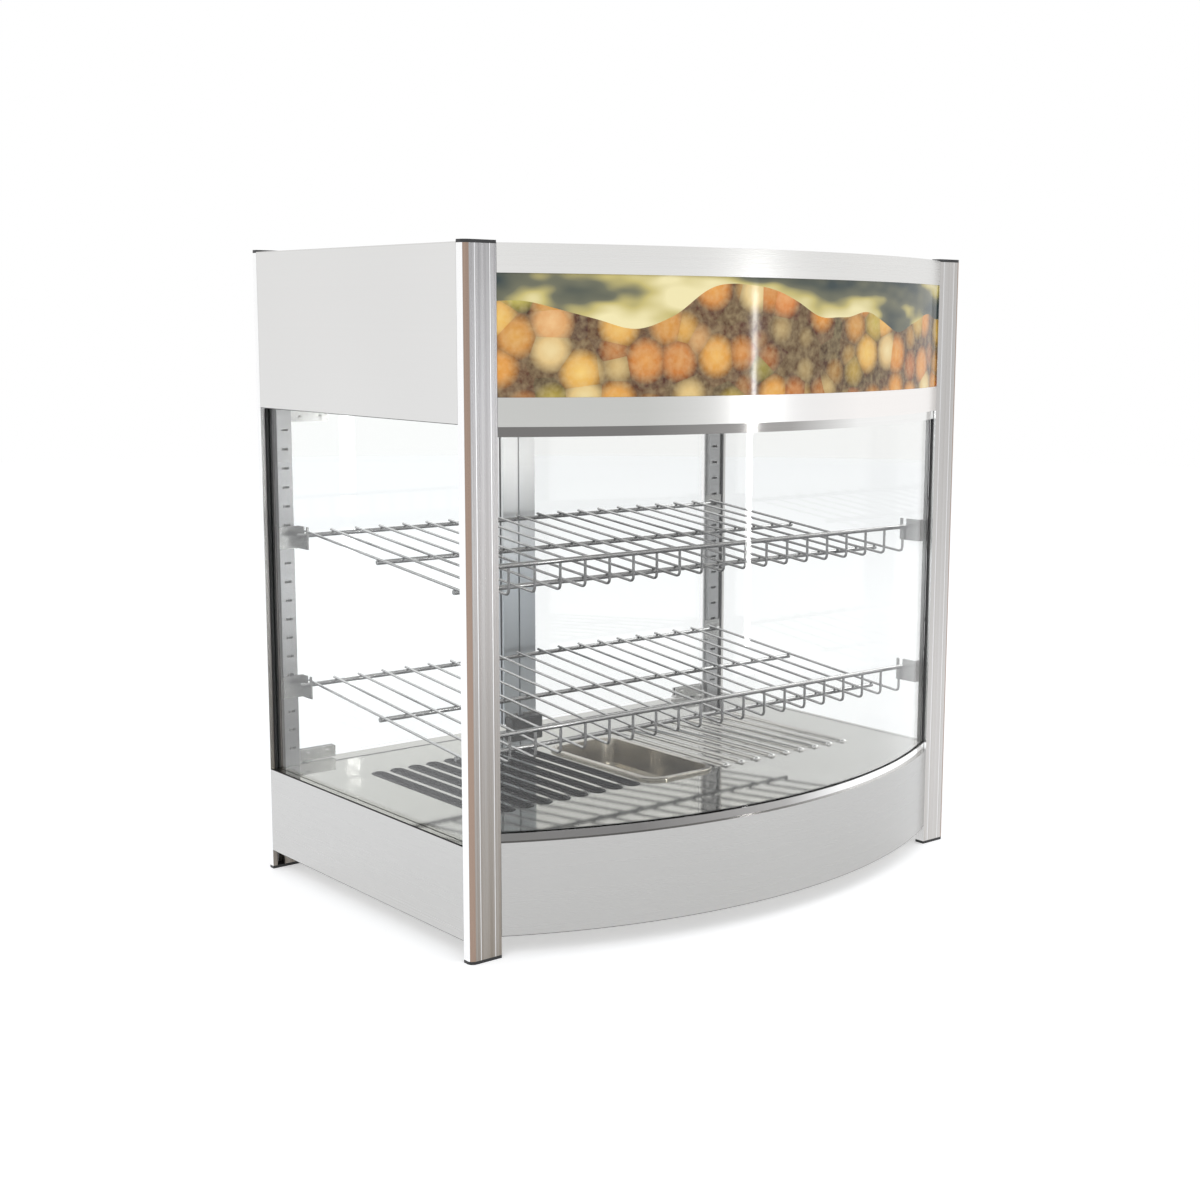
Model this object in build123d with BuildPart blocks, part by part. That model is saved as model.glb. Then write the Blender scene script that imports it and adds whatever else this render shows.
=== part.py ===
from build123d import *
import os
from math import atan2, degrees, sqrt

# Heated deli display case with a curved front, in millimetres.
# +Z is up and the floor is z = 0. The customer side is -Y and the server's doors are at +Y.
# x = 0 is the middle, and y = 0 is half way between the curved front and the tip of the knob.

os.makedirs("parts", exist_ok=True)

# Overall size
width = 650.0
height = 655.0
post_span = 392.0
bulge = 77.0
knob_reach = 18.0

# Sheet metal and gaps
sheet = 1.2
seat_gap = 0.2
free_gap = 0.3

# Corner posts
post_width = 34.0
post_depth = 12.0
post_wall = 1.8
post_corner = 6.0
cap_height = 3.0
cap_plug = 8.0
groove_start = 5.0
groove_width = 9.0

# Heights of the base, the window and the header
base_low = 21.0
base_high = 110.0
header_drop = 160.0
post_rise = 2.0
band_lap = 3.0
lower_band_height = 26.0
upper_band_height = 26.0

# Curved front
glass_thick = 5.0
channel_inset = 3.0
channel_width = 10.0
channel_wall = 1.4
channel_height = 8.0
flange = 16.0
picture_thick = 3.0
picture_lap = 6.0

# Side glass
side_glass_thick = 4.0
gasket_depth = 6.0
gasket_proud = 2.0

# Slotted shelf strips and their clips
strip_width = 17.0
strip_depth = 6.0
strip_wall = 1.5
slot_pitch = 20.0
slot_first = 131.0
slot_count = 18
strip_slot_width = 8.0
strip_slot_height = 2.5
clip_thick = 1.5
clip_height = 24.0
clip_inset = 5.8
clip_flange = 24.0
clip_drop = 15.4
front_clip_seat = 21.0
rear_clip_seat = 15.0
clip_end = 6.0

# Wire shelves
upper_seat = 361.4
lower_seat = 201.4
bar_size = 5.0
wire_size = 2.8
wire_count = 20
wire_side_gap = 8.0
bar_overhang = 13.0
wire_overhang = 5.0
fence_height = 28.0
front_bar_back = 42.0
middle_bar_back = 179.0
weld = 0.3

# Floor plate with its two groups of air slots and the water pan
floor_thick = 1.0
slot_width = 11.0
slot_length = 210.0
slot_spacing = 22.5
slots_middle_y = 22.5
slots_each_side = 9
slot_nearest = 64.0
slot_lip = 2.0
slot_bevel = 0.3
lip_wall = 0.8
pan_y = 6.5
pan_width = 95.0
pan_length = 190.0
pan_depth = 25.0
pan_wall = 0.8
pan_rim = 5.5
pan_rim_height = 2.5
pan_corner = 22.0
pan_draft = 3.0

# Rear doors
door_glass_thick = 5.0
door_glass_y = 6.5
pivot_inset = 14.0
door_floor_gap = 1.5
door_top_gap = 3.5
clamp_length = 43.0
clamp_end = 10.0
clamp_height = 12.5
clamp_thick = 10.0
clamp_bite = 9.0
clamp_screw_radius = 2.5
clamp_screw_spacing = 24.0
pin_radius = 2.5
pin_length = 8.0
pin_play = 0.08
bush_wall = 1.2
bush_flange = 1.0
bush_flange_thick = 1.0
stile_width = 22.0
stile_depth = 12.0
stile_wall = 1.6
door_split = 2.0
pull_reach = 10.0
pull_thick = 2.0
strike_width = 16.0
strike_height = 12.0
catch_width = 44.0
catch_depth = 13.0
catch_height = 14.0

# Lamp behind the picture
tube_radius = 8.0
tube_end_gap = 32.5
tube_height = 34.0
tube_y = -60.0
holder_width = 22.0
holder_thick = 10.0
lamp_window_gap = 18.5
lamp_window_depth = 60.0
diffuser_thick = 3.0
diffuser_lap = 8.0
vent_count = 12
vent_pitch = 34.0
vent_length = 40.0
vent_width = 5.0
vent_drop = 63.0

# Heating elements under the floor
heater_radius = 4.0
heater_height = 76.0
heater_spread = 110.0
heater_length = 170.0
bracket_thick = 2.0
bracket_width = 140.0
bracket_spacing = 120.0
reflector_drop = 9.0

# Rear controls, all on one line
control_z = 66.0
knob_x = 120.0
knob_radius = 19.0
knob_grip = 6.0
knob_skirt = 3.0
shaft_radius = 3.0
thermostat_size = 34.0
thermostat_depth = 24.0
power_x = -200.0
lamp_switch_x = -160.0
rocker_width = 17.0
rocker_half = 12.2
rocker_crown = 4.4
rocker_valley = 2.2
rocker_back = 4.0
rocker_tilt = 10.0
switch_wall = 1.0
switch_rim = 2.4
switch_depth = 16.0
trunnion_radius = 1.2
pilot_x = -120.0
pilot_radius = 6.0
gland_x = 240.0
gland_radius = 11.0
gland_bore = 4.2
gland_length = 14.0
screw_head = 3.8

# Places worked out from the sizes above
half_width = width / 2
inner_x = half_width - post_width
window_high = height - header_drop
header_high = height - post_rise
band_low = window_high - band_lap
picture_low = band_low + lower_band_height
picture_high = header_high - upper_band_height
wire_span = 2 * (inner_x - wire_side_gap)
tube_length = 2 * (inner_x - tube_end_gap)
lamp_window_width = tube_length - 2 * lamp_window_gap
total_depth = bulge + post_span + knob_reach
apex_y = -total_depth / 2
front_y = apex_y + bulge
rear_y = front_y + post_span
front_post_back = front_y + post_depth
rear_post_front = rear_y - post_depth
middle_y = (front_y + rear_y) / 2
arc_radius = (inner_x**2 + bulge**2) / (2 * bulge)
arc_y = apex_y + arc_radius
floor_top = base_high + floor_thick
panel_length = post_span - 2 * post_depth - 2 * seat_gap
side_mirror = Plane.YZ
depth_mirror = Plane.XZ.offset(-middle_y)
groove_x = -half_width + groove_start + groove_width / 2
ceiling_low = window_high + sheet
ceiling_high = ceiling_low + sheet
glass_inset = channel_inset + (channel_width - glass_thick) / 2
floor_inset = channel_inset + channel_width + seat_gap
panel_face = rear_y - sheet
shelf_rail_y = front_post_back + strip_depth + front_clip_seat
shelf_rear_y = rear_post_front - strip_depth - rear_clip_seat


def save(piece, name):
    """Label a finished piece and write its STEP file."""
    piece.part.label = name
    export_step(piece.part, f"parts/{name}.step")


def curved_band(inset, depth, low, high, reach):
    """A band that follows the curved front, set back by inset and reach wide to each side."""
    with BuildPart() as band:
        with BuildSketch(Plane.XY.offset(low)):
            with Locations((0, arc_y)):
                Circle(arc_radius - inset)
                Circle(arc_radius - inset - depth, mode=Mode.SUBTRACT)
            with Locations((0, apex_y)):
                Rectangle(2 * reach, 2 * (bulge + 2 * flange), mode=Mode.INTERSECT)
        extrude(amount=high - low)
    return band.part


def footprint(inset, side_reach, rear_reach, low, thick):
    """A flat plate between the four posts, with the front edge on the curve."""
    with BuildPart() as plate:
        with BuildSketch(Plane.XY.offset(low)):
            with Locations((0, arc_y)):
                Circle(arc_radius - inset)
            with Locations((0, (apex_y + rear_reach) / 2)):
                Rectangle(2 * (inner_x - seat_gap), rear_reach - apex_y, mode=Mode.INTERSECT)
            with Locations((0, middle_y)):
                Rectangle(2 * side_reach, panel_length)
        extrude(amount=thick)
    return plate.part


# Corner posts: box extrusions with a rounded outer corner and a groove for the side glass
with BuildPart() as post_front_left:
    with BuildSketch(Plane.XY.offset(cap_height)) as post_section:
        with Locations((-half_width, front_y)):
            Rectangle(post_width, post_depth, align=(Align.MIN, Align.MIN))
        fillet(post_section.vertices().group_by(Axis.X)[0].sort_by(Axis.Y)[0], post_corner)
        with Locations((-half_width + post_wall, front_y + post_wall)):
            Rectangle(
                post_width - 2 * post_wall,
                post_depth - 2 * post_wall,
                align=(Align.MIN, Align.MIN),
                mode=Mode.SUBTRACT,
            )
        with Locations((groove_x, front_post_back)):
            Rectangle(groove_width, 2 * post_wall, mode=Mode.SUBTRACT)
    extrude(amount=height - 2 * cap_height)
    with BuildSketch(Plane.XY.offset(cap_height)):
        with Locations((-half_width + post_wall, front_y + post_wall)):
            Rectangle(post_corner / 2, post_corner / 2, align=(Align.MIN, Align.MIN))
    extrude(amount=height - 2 * cap_height)

with BuildPart() as post_front_right:
    mirror(post_front_left.part, about=side_mirror)
with BuildPart() as post_rear_left:
    mirror(post_front_left.part, about=depth_mirror)
with BuildPart() as post_rear_right:
    mirror(post_front_right.part, about=depth_mirror)

save(post_front_left, "post_front_left")
save(post_front_right, "post_front_right")
save(post_rear_left, "post_rear_left")
save(post_rear_right, "post_rear_right")

# Black end caps: a plate the size of the post, with a plug that sits in its hollow
plug_x = groove_x + groove_width / 2 + post_wall
plug_width = -inner_x - post_wall - plug_x - 2 * seat_gap
plug_depth = post_depth - 2 * post_wall - 2 * seat_gap


def end_cap(low, plug_low):
    """One end cap at the front left post."""
    with BuildPart() as cap:
        with BuildSketch(Plane.XY.offset(low)) as plate:
            with Locations((-half_width, front_y)):
                Rectangle(post_width, post_depth, align=(Align.MIN, Align.MIN))
            fillet(plate.vertices().group_by(Axis.X)[0].sort_by(Axis.Y)[0], post_corner)
        extrude(amount=cap_height)
        with BuildSketch(Plane.XY.offset(plug_low)):
            with Locations((plug_x + seat_gap, front_y + post_wall + seat_gap)):
                Rectangle(plug_width, plug_depth, align=(Align.MIN, Align.MIN))
        extrude(amount=cap_plug)
    return cap.part


def four_corners(corner):
    """The same piece at all four posts, as separate solids."""
    with BuildPart() as group:
        add(corner)
        mirror(corner, about=side_mirror)
        mirror(group.part, about=depth_mirror)
    return group


post_foot_caps = four_corners(end_cap(0, cap_height))
post_top_caps = four_corners(end_cap(height - cap_height, height - cap_height - cap_plug))
save(post_foot_caps, "post_foot_caps")
save(post_top_caps, "post_top_caps")

# Slotted strips: U channels on the inner face of each post, with level slots for the clips
strip_low = floor_top + seat_gap
strip_high = window_high - seat_gap
strip_x = -inner_x - strip_width
strip_front = front_post_back + strip_depth

with BuildPart() as shelf_strip_front_left:
    with BuildSketch(Plane.XY.offset(strip_low)):
        with Locations((strip_x, front_post_back)):
            Rectangle(strip_width, strip_depth, align=(Align.MIN, Align.MIN))
        with Locations((strip_x + strip_wall, front_post_back)):
            Rectangle(
                strip_width - 2 * strip_wall,
                strip_depth - strip_wall,
                align=(Align.MIN, Align.MIN),
                mode=Mode.SUBTRACT,
            )
    extrude(amount=strip_high - strip_low)
    with BuildSketch(Plane.XZ.offset(-strip_front)):
        with Locations((strip_x + strip_width / 2, slot_first + (slot_count - 1) * slot_pitch / 2)):
            with GridLocations(slot_pitch, slot_pitch, 1, slot_count):
                Rectangle(strip_slot_width, strip_slot_height)
    extrude(amount=2 * strip_wall, both=True, mode=Mode.SUBTRACT)

with BuildPart() as shelf_strip_front_right:
    mirror(shelf_strip_front_left.part, about=side_mirror)
with BuildPart() as shelf_strip_rear_left:
    mirror(shelf_strip_front_left.part, about=depth_mirror)
with BuildPart() as shelf_strip_rear_right:
    mirror(shelf_strip_front_right.part, about=depth_mirror)

save(shelf_strip_front_left, "shelf_strip_front_left")
save(shelf_strip_front_right, "shelf_strip_front_right")
save(shelf_strip_rear_left, "shelf_strip_rear_left")
save(shelf_strip_rear_right, "shelf_strip_rear_right")


# Shelf clips: bent brackets with a notch that takes the end of a shelf bar
def shelf_clip(seat, reach):
    """The clip at the front left strip that carries a bar at height seat, reach behind the strip."""
    notch = bar_size + 2 * free_gap
    with BuildPart() as clip:
        with BuildSketch(Plane.XY.offset(seat - clip_drop)):
            with Locations((clip_inset - inner_x, strip_front)):
                Rectangle(clip_thick, reach + clip_end, align=(Align.MAX, Align.MIN))
                Rectangle(clip_flange, clip_thick, align=(Align.MAX, Align.MIN))
        extrude(amount=clip_height)
        with BuildSketch(Plane.YZ.offset(clip_inset - inner_x)):
            with Locations((strip_front + reach, seat - bar_size / 2)):
                Rectangle(notch, clip_height, align=(Align.CENTER, Align.MIN))
        extrude(amount=2 * clip_thick, both=True, mode=Mode.SUBTRACT)
    return clip.part


front_clips = shelf_clip(upper_seat, front_clip_seat) + shelf_clip(lower_seat, front_clip_seat)
rear_clips = shelf_clip(upper_seat, rear_clip_seat) + shelf_clip(lower_seat, rear_clip_seat)
with BuildPart() as shelf_clips:
    add(front_clips)
    mirror(rear_clips, about=depth_mirror)
    mirror(shelf_clips.part, about=side_mirror)
save(shelf_clips, "shelf_clips")

# Header: side sheets, rear sheet, top sheet and the two curved bands of the front
panel_low_y = front_post_back + seat_gap


def side_sheet(low, high, flange_low):
    """A flat left side sheet between the posts, with an inward flange."""
    with BuildPart() as panel:
        with BuildSketch(Plane.XZ.offset(-panel_low_y)):
            with Locations((-half_width, low)):
                Rectangle(sheet, high - low, align=(Align.MIN, Align.MIN))
            with Locations((-half_width, flange_low)):
                Rectangle(flange + sheet, sheet, align=(Align.MIN, Align.MIN))
        extrude(amount=-panel_length)
    return panel.part


left_sheet = side_sheet(window_high, header_high - sheet, window_high)
with BuildPart() as header_side_left:
    add(left_sheet)
with BuildPart() as header_side_right:
    mirror(left_sheet, about=side_mirror)
save(header_side_left, "header_side_left")
save(header_side_right, "header_side_right")

top_sheet = footprint(0, half_width, rear_y, header_high - sheet, sheet)
with BuildPart() as header_top_panel:
    add(top_sheet)
save(header_top_panel, "header_top_panel")

screw_x = inner_x - 2 * post_width
screw_xs = [-screw_x, -screw_x / 3, screw_x / 3, screw_x]
header_screw_z = ceiling_high + flange / 2
base_screw_z = base_high - flange / 2

with BuildPart() as header_rear_panel:
    with BuildSketch(Plane.XZ.offset(-rear_y)):
        with Locations((0, window_high)):
            Rectangle(
                2 * (inner_x - seat_gap), header_high - sheet - window_high, align=(Align.CENTER, Align.MIN)
            )
        with Locations((0, header_high - vent_drop)):
            with GridLocations(vent_pitch, 1, vent_count, 1):
                Rectangle(vent_width, vent_length, mode=Mode.SUBTRACT)
    extrude(amount=sheet)
save(header_rear_panel, "header_rear_panel")

band_reach = inner_x - seat_gap
upper_face = curved_band(0, sheet, picture_high, header_high - sheet, band_reach)
upper_lip = curved_band(0, flange, header_high - 2 * sheet, header_high - sheet, band_reach)
with BuildPart() as header_upper_band:
    add(upper_face)
    add(upper_lip)
save(header_upper_band, "header_upper_band")

lower_face = curved_band(0, sheet, band_low, picture_low, band_reach)
lower_lip = curved_band(0, flange, band_low, band_low + sheet, band_reach)
with BuildPart() as header_lower_band:
    add(lower_face)
    add(lower_lip)
save(header_lower_band, "header_lower_band")

picture_inset = sheet + seat_gap
picture_band = curved_band(
    picture_inset, picture_thick, picture_low - picture_lap, picture_high + picture_lap, band_reach
)
with BuildPart() as picture_panel:
    add(picture_band)
save(picture_panel, "picture_panel")

# Ceiling of the cabinet, with a window that lets the lamp light the food
bush_radius = pin_radius + pin_play + bush_wall
pivot_x = inner_x - pivot_inset
door_y = rear_y - door_glass_y
pivots = [(-pivot_x, door_y), (pivot_x, door_y)]

ceiling_sheet = footprint(flange + seat_gap, half_width - sheet - seat_gap, panel_face, ceiling_low, sheet)
with BuildPart() as ceiling_plate:
    add(ceiling_sheet)
    with BuildSketch(Plane.XY.offset(ceiling_low)):
        with Locations((0, tube_y)):
            Rectangle(lamp_window_width, lamp_window_depth)
        with Locations(*pivots):
            Circle(bush_radius)
    extrude(amount=sheet, mode=Mode.SUBTRACT)
    with BuildSketch(Plane.XZ.offset(-panel_face)):
        with Locations((0, ceiling_high)):
            Rectangle(2 * (inner_x - 2 * seat_gap), flange, align=(Align.CENTER, Align.MIN))
    extrude(amount=sheet)
save(ceiling_plate, "ceiling_plate")

# Diffuser that lies over the lamp window
with BuildPart() as lamp_diffuser:
    with BuildSketch(Plane.XY.offset(ceiling_high)):
        with Locations((0, tube_y)):
            Rectangle(lamp_window_width + 2 * diffuser_lap, lamp_window_depth + 2 * diffuser_lap)
    extrude(amount=diffuser_thick)
save(lamp_diffuser, "lamp_diffuser")

# Lamp tube and its two holders, standing on the ceiling plate
tube_z = ceiling_high + tube_height
with BuildPart() as lamp_tube:
    with BuildSketch(Plane.YZ.offset(-tube_length / 2)):
        with Locations((tube_y, tube_z)):
            Circle(tube_radius)
    extrude(amount=tube_length)
save(lamp_tube, "lamp_tube")

with BuildPart() as lamp_holders:
    for side in (-1, 1):
        with BuildSketch(Plane.YZ.offset(side * tube_length / 2 - holder_thick / 2)):
            with Locations((tube_y, ceiling_high)):
                Rectangle(
                    holder_width, tube_height + tube_radius + post_wall, align=(Align.CENTER, Align.MIN)
                )
            with Locations((tube_y, tube_z)):
                Circle(tube_radius + seat_gap, mode=Mode.SUBTRACT)
        extrude(amount=holder_thick)
save(lamp_holders, "lamp_holders")

# Curved front glass in its upper and lower channels
channel_reach = inner_x - free_gap
upper_channel_low = band_low - channel_height - sheet
lower_channel_high = base_high + channel_height

slot_inset = channel_inset + channel_wall
slot_depth = channel_width - 2 * channel_wall
channel_slot_reach = channel_reach + free_gap
upper_bar = curved_band(channel_inset, channel_width, upper_channel_low, band_low, channel_reach)
upper_slot = curved_band(
    slot_inset, slot_depth, upper_channel_low, band_low - channel_wall, channel_slot_reach
)
with BuildPart() as upper_glass_channel:
    add(upper_bar)
    add(upper_slot, mode=Mode.SUBTRACT)
save(upper_glass_channel, "upper_glass_channel")

lower_bar = curved_band(channel_inset, channel_width, base_high, lower_channel_high, channel_reach)
lower_slot = curved_band(
    slot_inset, slot_depth, base_high + channel_wall, lower_channel_high, channel_slot_reach
)
with BuildPart() as lower_glass_channel:
    add(lower_bar)
    add(lower_slot, mode=Mode.SUBTRACT)
save(lower_glass_channel, "lower_glass_channel")

seal_width = 2.5
glass_reach = inner_x - seal_width - 2 * seat_gap
glass_low = base_high + channel_wall
glass_high = band_low - channel_wall - seat_gap
curved_glass = curved_band(glass_inset, glass_thick, glass_low, glass_high, glass_reach)
with BuildPart() as front_glass:
    add(curved_glass)
save(front_glass, "front_glass")

# Black seals between the ends of the front glass and the posts
seal_band = curved_band(
    glass_inset, glass_thick, lower_channel_high, upper_channel_low, inner_x - seat_gap
)
with BuildPart() as front_glass_seals:
    add(seal_band)
    with BuildSketch(Plane.XY.offset(lower_channel_high)):
        with Locations((0, apex_y)):
            Rectangle(2 * (glass_reach + seat_gap), 2 * (bulge + 2 * flange))
    extrude(amount=upper_channel_low - lower_channel_high, mode=Mode.SUBTRACT)
save(front_glass_seals, "front_glass_seals")

# Side glass, standing on the floor plate in the grooves of the posts
glass_enter = gasket_depth - strip_wall
side_glass_length = post_span - 2 * post_depth + 2 * glass_enter
with BuildPart() as side_glass_left:
    with BuildSketch(Plane.XY.offset(floor_top)):
        with Locations((groove_x, middle_y)):
            Rectangle(side_glass_thick, side_glass_length)
    extrude(amount=window_high - floor_top)
with BuildPart() as side_glass_right:
    mirror(side_glass_left.part, about=side_mirror)
save(side_glass_left, "side_glass_left")
save(side_glass_right, "side_glass_right")

# U gaskets on the upright edges of the side glass
with BuildPart() as side_gaskets:
    with BuildSketch(Plane.XY.offset(floor_top)):
        with Locations((groove_x, front_post_back + gasket_proud)):
            Rectangle(
                groove_width - 2 * seat_gap, gasket_depth + gasket_proud, align=(Align.CENTER, Align.MAX)
            )
        with Locations((groove_x, front_post_back - glass_enter)):
            Rectangle(
                side_glass_thick,
                2 * gasket_depth,
                align=(Align.CENTER, Align.MIN),
                mode=Mode.SUBTRACT,
            )
    extrude(amount=window_high - floor_top)
    mirror(side_gaskets.part, about=depth_mirror)
    mirror(side_gaskets.part, about=side_mirror)
save(side_gaskets, "side_gaskets")

# Base: bottom plate, side sheets, curved front sheet and rear sheet with the control holes
bottom_sheet = footprint(
    sheet + seat_gap, half_width - sheet - seat_gap, panel_face - seat_gap, base_low, sheet
)
with BuildPart() as base_plate:
    add(bottom_sheet)
save(base_plate, "base_plate")

left_sheet = side_sheet(base_low, base_high, base_high - sheet)
with BuildPart() as base_side_left:
    add(left_sheet)
with BuildPart() as base_side_right:
    mirror(left_sheet, about=side_mirror)
save(base_side_left, "base_side_left")
save(base_side_right, "base_side_right")

front_face = curved_band(0, sheet, base_low, base_high, band_reach)
front_lip = curved_band(0, flange, base_high - sheet, base_high, band_reach)
with BuildPart() as base_front_panel:
    add(front_face)
    add(front_lip)
save(base_front_panel, "base_front_panel")

switch_open_x = rocker_width + 2 * free_gap
switch_open_z = 2 * sqrt(rocker_half**2 + rocker_crown**2) + 2 * free_gap
switch_body_x = switch_open_x + 2 * switch_wall
switch_body_z = switch_open_z + 2 * switch_wall
with BuildPart() as base_rear_panel:
    with BuildSketch(Plane.XZ.offset(-rear_y)):
        with Locations((0, base_low)):
            Rectangle(2 * (inner_x - seat_gap), base_high - base_low, align=(Align.CENTER, Align.MIN))
        with Locations((power_x, control_z), (lamp_switch_x, control_z)):
            Rectangle(switch_body_x + 2 * seat_gap, switch_body_z + 2 * seat_gap, mode=Mode.SUBTRACT)
        with Locations((knob_x, control_z)):
            Circle(shaft_radius + seat_gap + pin_play, mode=Mode.SUBTRACT)
        with Locations((pilot_x, control_z)):
            Rectangle(pilot_radius + seat_gap, pilot_radius + seat_gap, mode=Mode.SUBTRACT)
        with Locations((gland_x, control_z)):
            Circle(gland_bore + post_wall + seat_gap, mode=Mode.SUBTRACT)
    extrude(amount=sheet)
save(base_rear_panel, "base_rear_panel")

# Floor plate: two groups of long air slots with turned-down lips, and the hole of the water pan
pan_hole_width = pan_width - 2 * pan_rim + 2 * free_gap
pan_hole_length = pan_length - 2 * pan_rim + 2 * free_gap
right_middle = slot_nearest + (slots_each_side - 1) * slot_spacing / 2
left_middle = -right_middle
slot_groups = [(left_middle, slots_middle_y), (right_middle, slots_middle_y)]


def slot_outline(grow):
    """The outline of one air slot with bevelled ends, made larger by grow all round."""
    with BuildSketch() as outline:
        Rectangle(slot_width + 2 * grow, slot_length + 2 * grow)
        chamfer(outline.vertices(), slot_width * slot_bevel, slot_width / 2)
    return outline.sketch


floor_sheet = footprint(floor_inset, half_width - sheet, rear_y, base_high, floor_thick)
channel_room = curved_band(0, floor_inset, base_high, floor_top, inner_x)
with BuildPart() as floor_plate:
    add(floor_sheet)
    add(channel_room, mode=Mode.SUBTRACT)
    with BuildSketch(Plane.XY.offset(base_high - slot_lip)):
        with Locations(*slot_groups):
            with GridLocations(slot_spacing, 1, slots_each_side, 1):
                add(slot_outline(lip_wall))
    extrude(amount=slot_lip)
    with BuildSketch(Plane.XY.offset(base_high - slot_lip)):
        with Locations(*slot_groups):
            with GridLocations(slot_spacing, 1, slots_each_side, 1):
                add(slot_outline(0))
    extrude(amount=slot_lip + floor_thick, mode=Mode.SUBTRACT)
    with BuildSketch(Plane.XY.offset(base_high)):
        with Locations((0, pan_y)):
            RectangleRounded(pan_hole_width, pan_hole_length, pan_corner - pan_rim + free_gap)
        with Locations(*pivots):
            Circle(bush_radius)
    extrude(amount=floor_thick, mode=Mode.SUBTRACT)
    with BuildSketch(Plane.XZ.offset(-panel_face)):
        with Locations((0, base_high)):
            Rectangle(2 * (inner_x - 2 * seat_gap), flange, align=(Align.CENTER, Align.MAX))
    extrude(amount=sheet)
save(floor_plate, "floor_plate")

# Panel screws of the two rear sheets: hexagon heads on the outside
with BuildPart() as panel_screws:
    with BuildSketch(Plane.XZ.offset(-rear_y)):
        with Locations(*[(x, z) for z in (header_screw_z, base_screw_z) for x in screw_xs]):
            RegularPolygon(screw_head, 6)
    extrude(amount=-2 * sheet)
save(panel_screws, "panel_screws")

# Water pan: a drawn tray that hangs by its rolled rim in the floor plate
pan_rim_low = floor_top + free_gap
pan_low = pan_rim_low - pan_depth
pan_body_width = pan_width - 2 * pan_rim
pan_body_length = pan_length - 2 * pan_rim
with BuildPart() as water_pan:
    with BuildSketch(Plane.XY.offset(pan_rim_low)):
        with Locations((0, pan_y)):
            RectangleRounded(pan_body_width, pan_body_length, pan_corner - pan_rim)
    with BuildSketch(Plane.XY.offset(pan_low)):
        with Locations((0, pan_y)):
            RectangleRounded(
                pan_body_width - 2 * pan_draft, pan_body_length - 2 * pan_draft, pan_corner - pan_rim
            )
    loft()
    with BuildSketch(Plane.XY.offset(pan_rim_low)):
        with Locations((0, pan_y)):
            RectangleRounded(pan_width, pan_length, pan_corner)
    extrude(amount=pan_rim_height)
    chamfer(water_pan.edges().group_by(Axis.Z)[-1], pan_rim_height / 3)
    with BuildSketch(Plane.XY.offset(pan_rim_low + pan_rim_height)):
        with Locations((0, pan_y)):
            RectangleRounded(
                pan_body_width - 2 * pan_wall, pan_body_length - 2 * pan_wall, pan_corner - pan_rim - pan_wall
            )
    with BuildSketch(Plane.XY.offset(pan_low + pan_wall)):
        with Locations((0, pan_y)):
            RectangleRounded(
                pan_body_width - 2 * pan_draft - 2 * pan_wall,
                pan_body_length - 2 * pan_draft - 2 * pan_wall,
                pan_corner - pan_rim - pan_wall,
            )
    loft(mode=Mode.SUBTRACT)
save(water_pan, "water_pan")


# Heating elements: one bent tube under each group of slots
def heater(middle):
    """A hairpin tube, open to the rear, at the height of the elements."""
    with BuildPart() as tube:
        with BuildLine() as route:
            front = slots_middle_y - heater_length / 2
            back = slots_middle_y + heater_length / 2
            bend = heater_spread / 4
            Polyline(
                (middle - heater_spread / 2, back, heater_height),
                (middle - heater_spread / 2, front + bend, heater_height),
                (middle - bend, front, heater_height),
                (middle + bend, front, heater_height),
                (middle + heater_spread / 2, front + bend, heater_height),
                (middle + heater_spread / 2, back, heater_height),
            )
        with BuildSketch(Plane(origin=route.line @ 0, z_dir=route.line % 0)):
            RegularPolygon(heater_radius, 8)
        sweep(transition=Transition.RIGHT)
    return tube.part


left_tube = heater(left_middle)
right_tube = heater(right_middle)
with BuildPart() as heaters:
    add(left_tube)
    add(right_tube)
save(heaters, "heaters")

# Brackets that carry the elements above the bottom plate
with BuildPart() as heater_brackets:
    for middle in (left_middle, right_middle):
        for offset_y in (-bracket_spacing / 4, bracket_spacing / 2):
            with BuildSketch(Plane.XZ.offset(-slots_middle_y - offset_y)):
                with Locations((middle, base_low + sheet)):
                    Rectangle(
                        bracket_width,
                        heater_height - base_low - sheet,
                        align=(Align.CENTER, Align.MIN),
                    )
                with Locations((middle, heater_height)):
                    with GridLocations(heater_spread, 1, 2, 1):
                        Rectangle(2 * heater_radius + seat_gap, 2 * heater_radius, mode=Mode.SUBTRACT)
            extrude(amount=bracket_thick)
            with BuildSketch(Plane.XY.offset(base_low + sheet)):
                with Locations((middle, slots_middle_y + offset_y)):
                    Rectangle(bracket_width, flange / 2, align=(Align.CENTER, Align.MIN))
            extrude(amount=bracket_thick)
save(heater_brackets, "heater_brackets")

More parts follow.
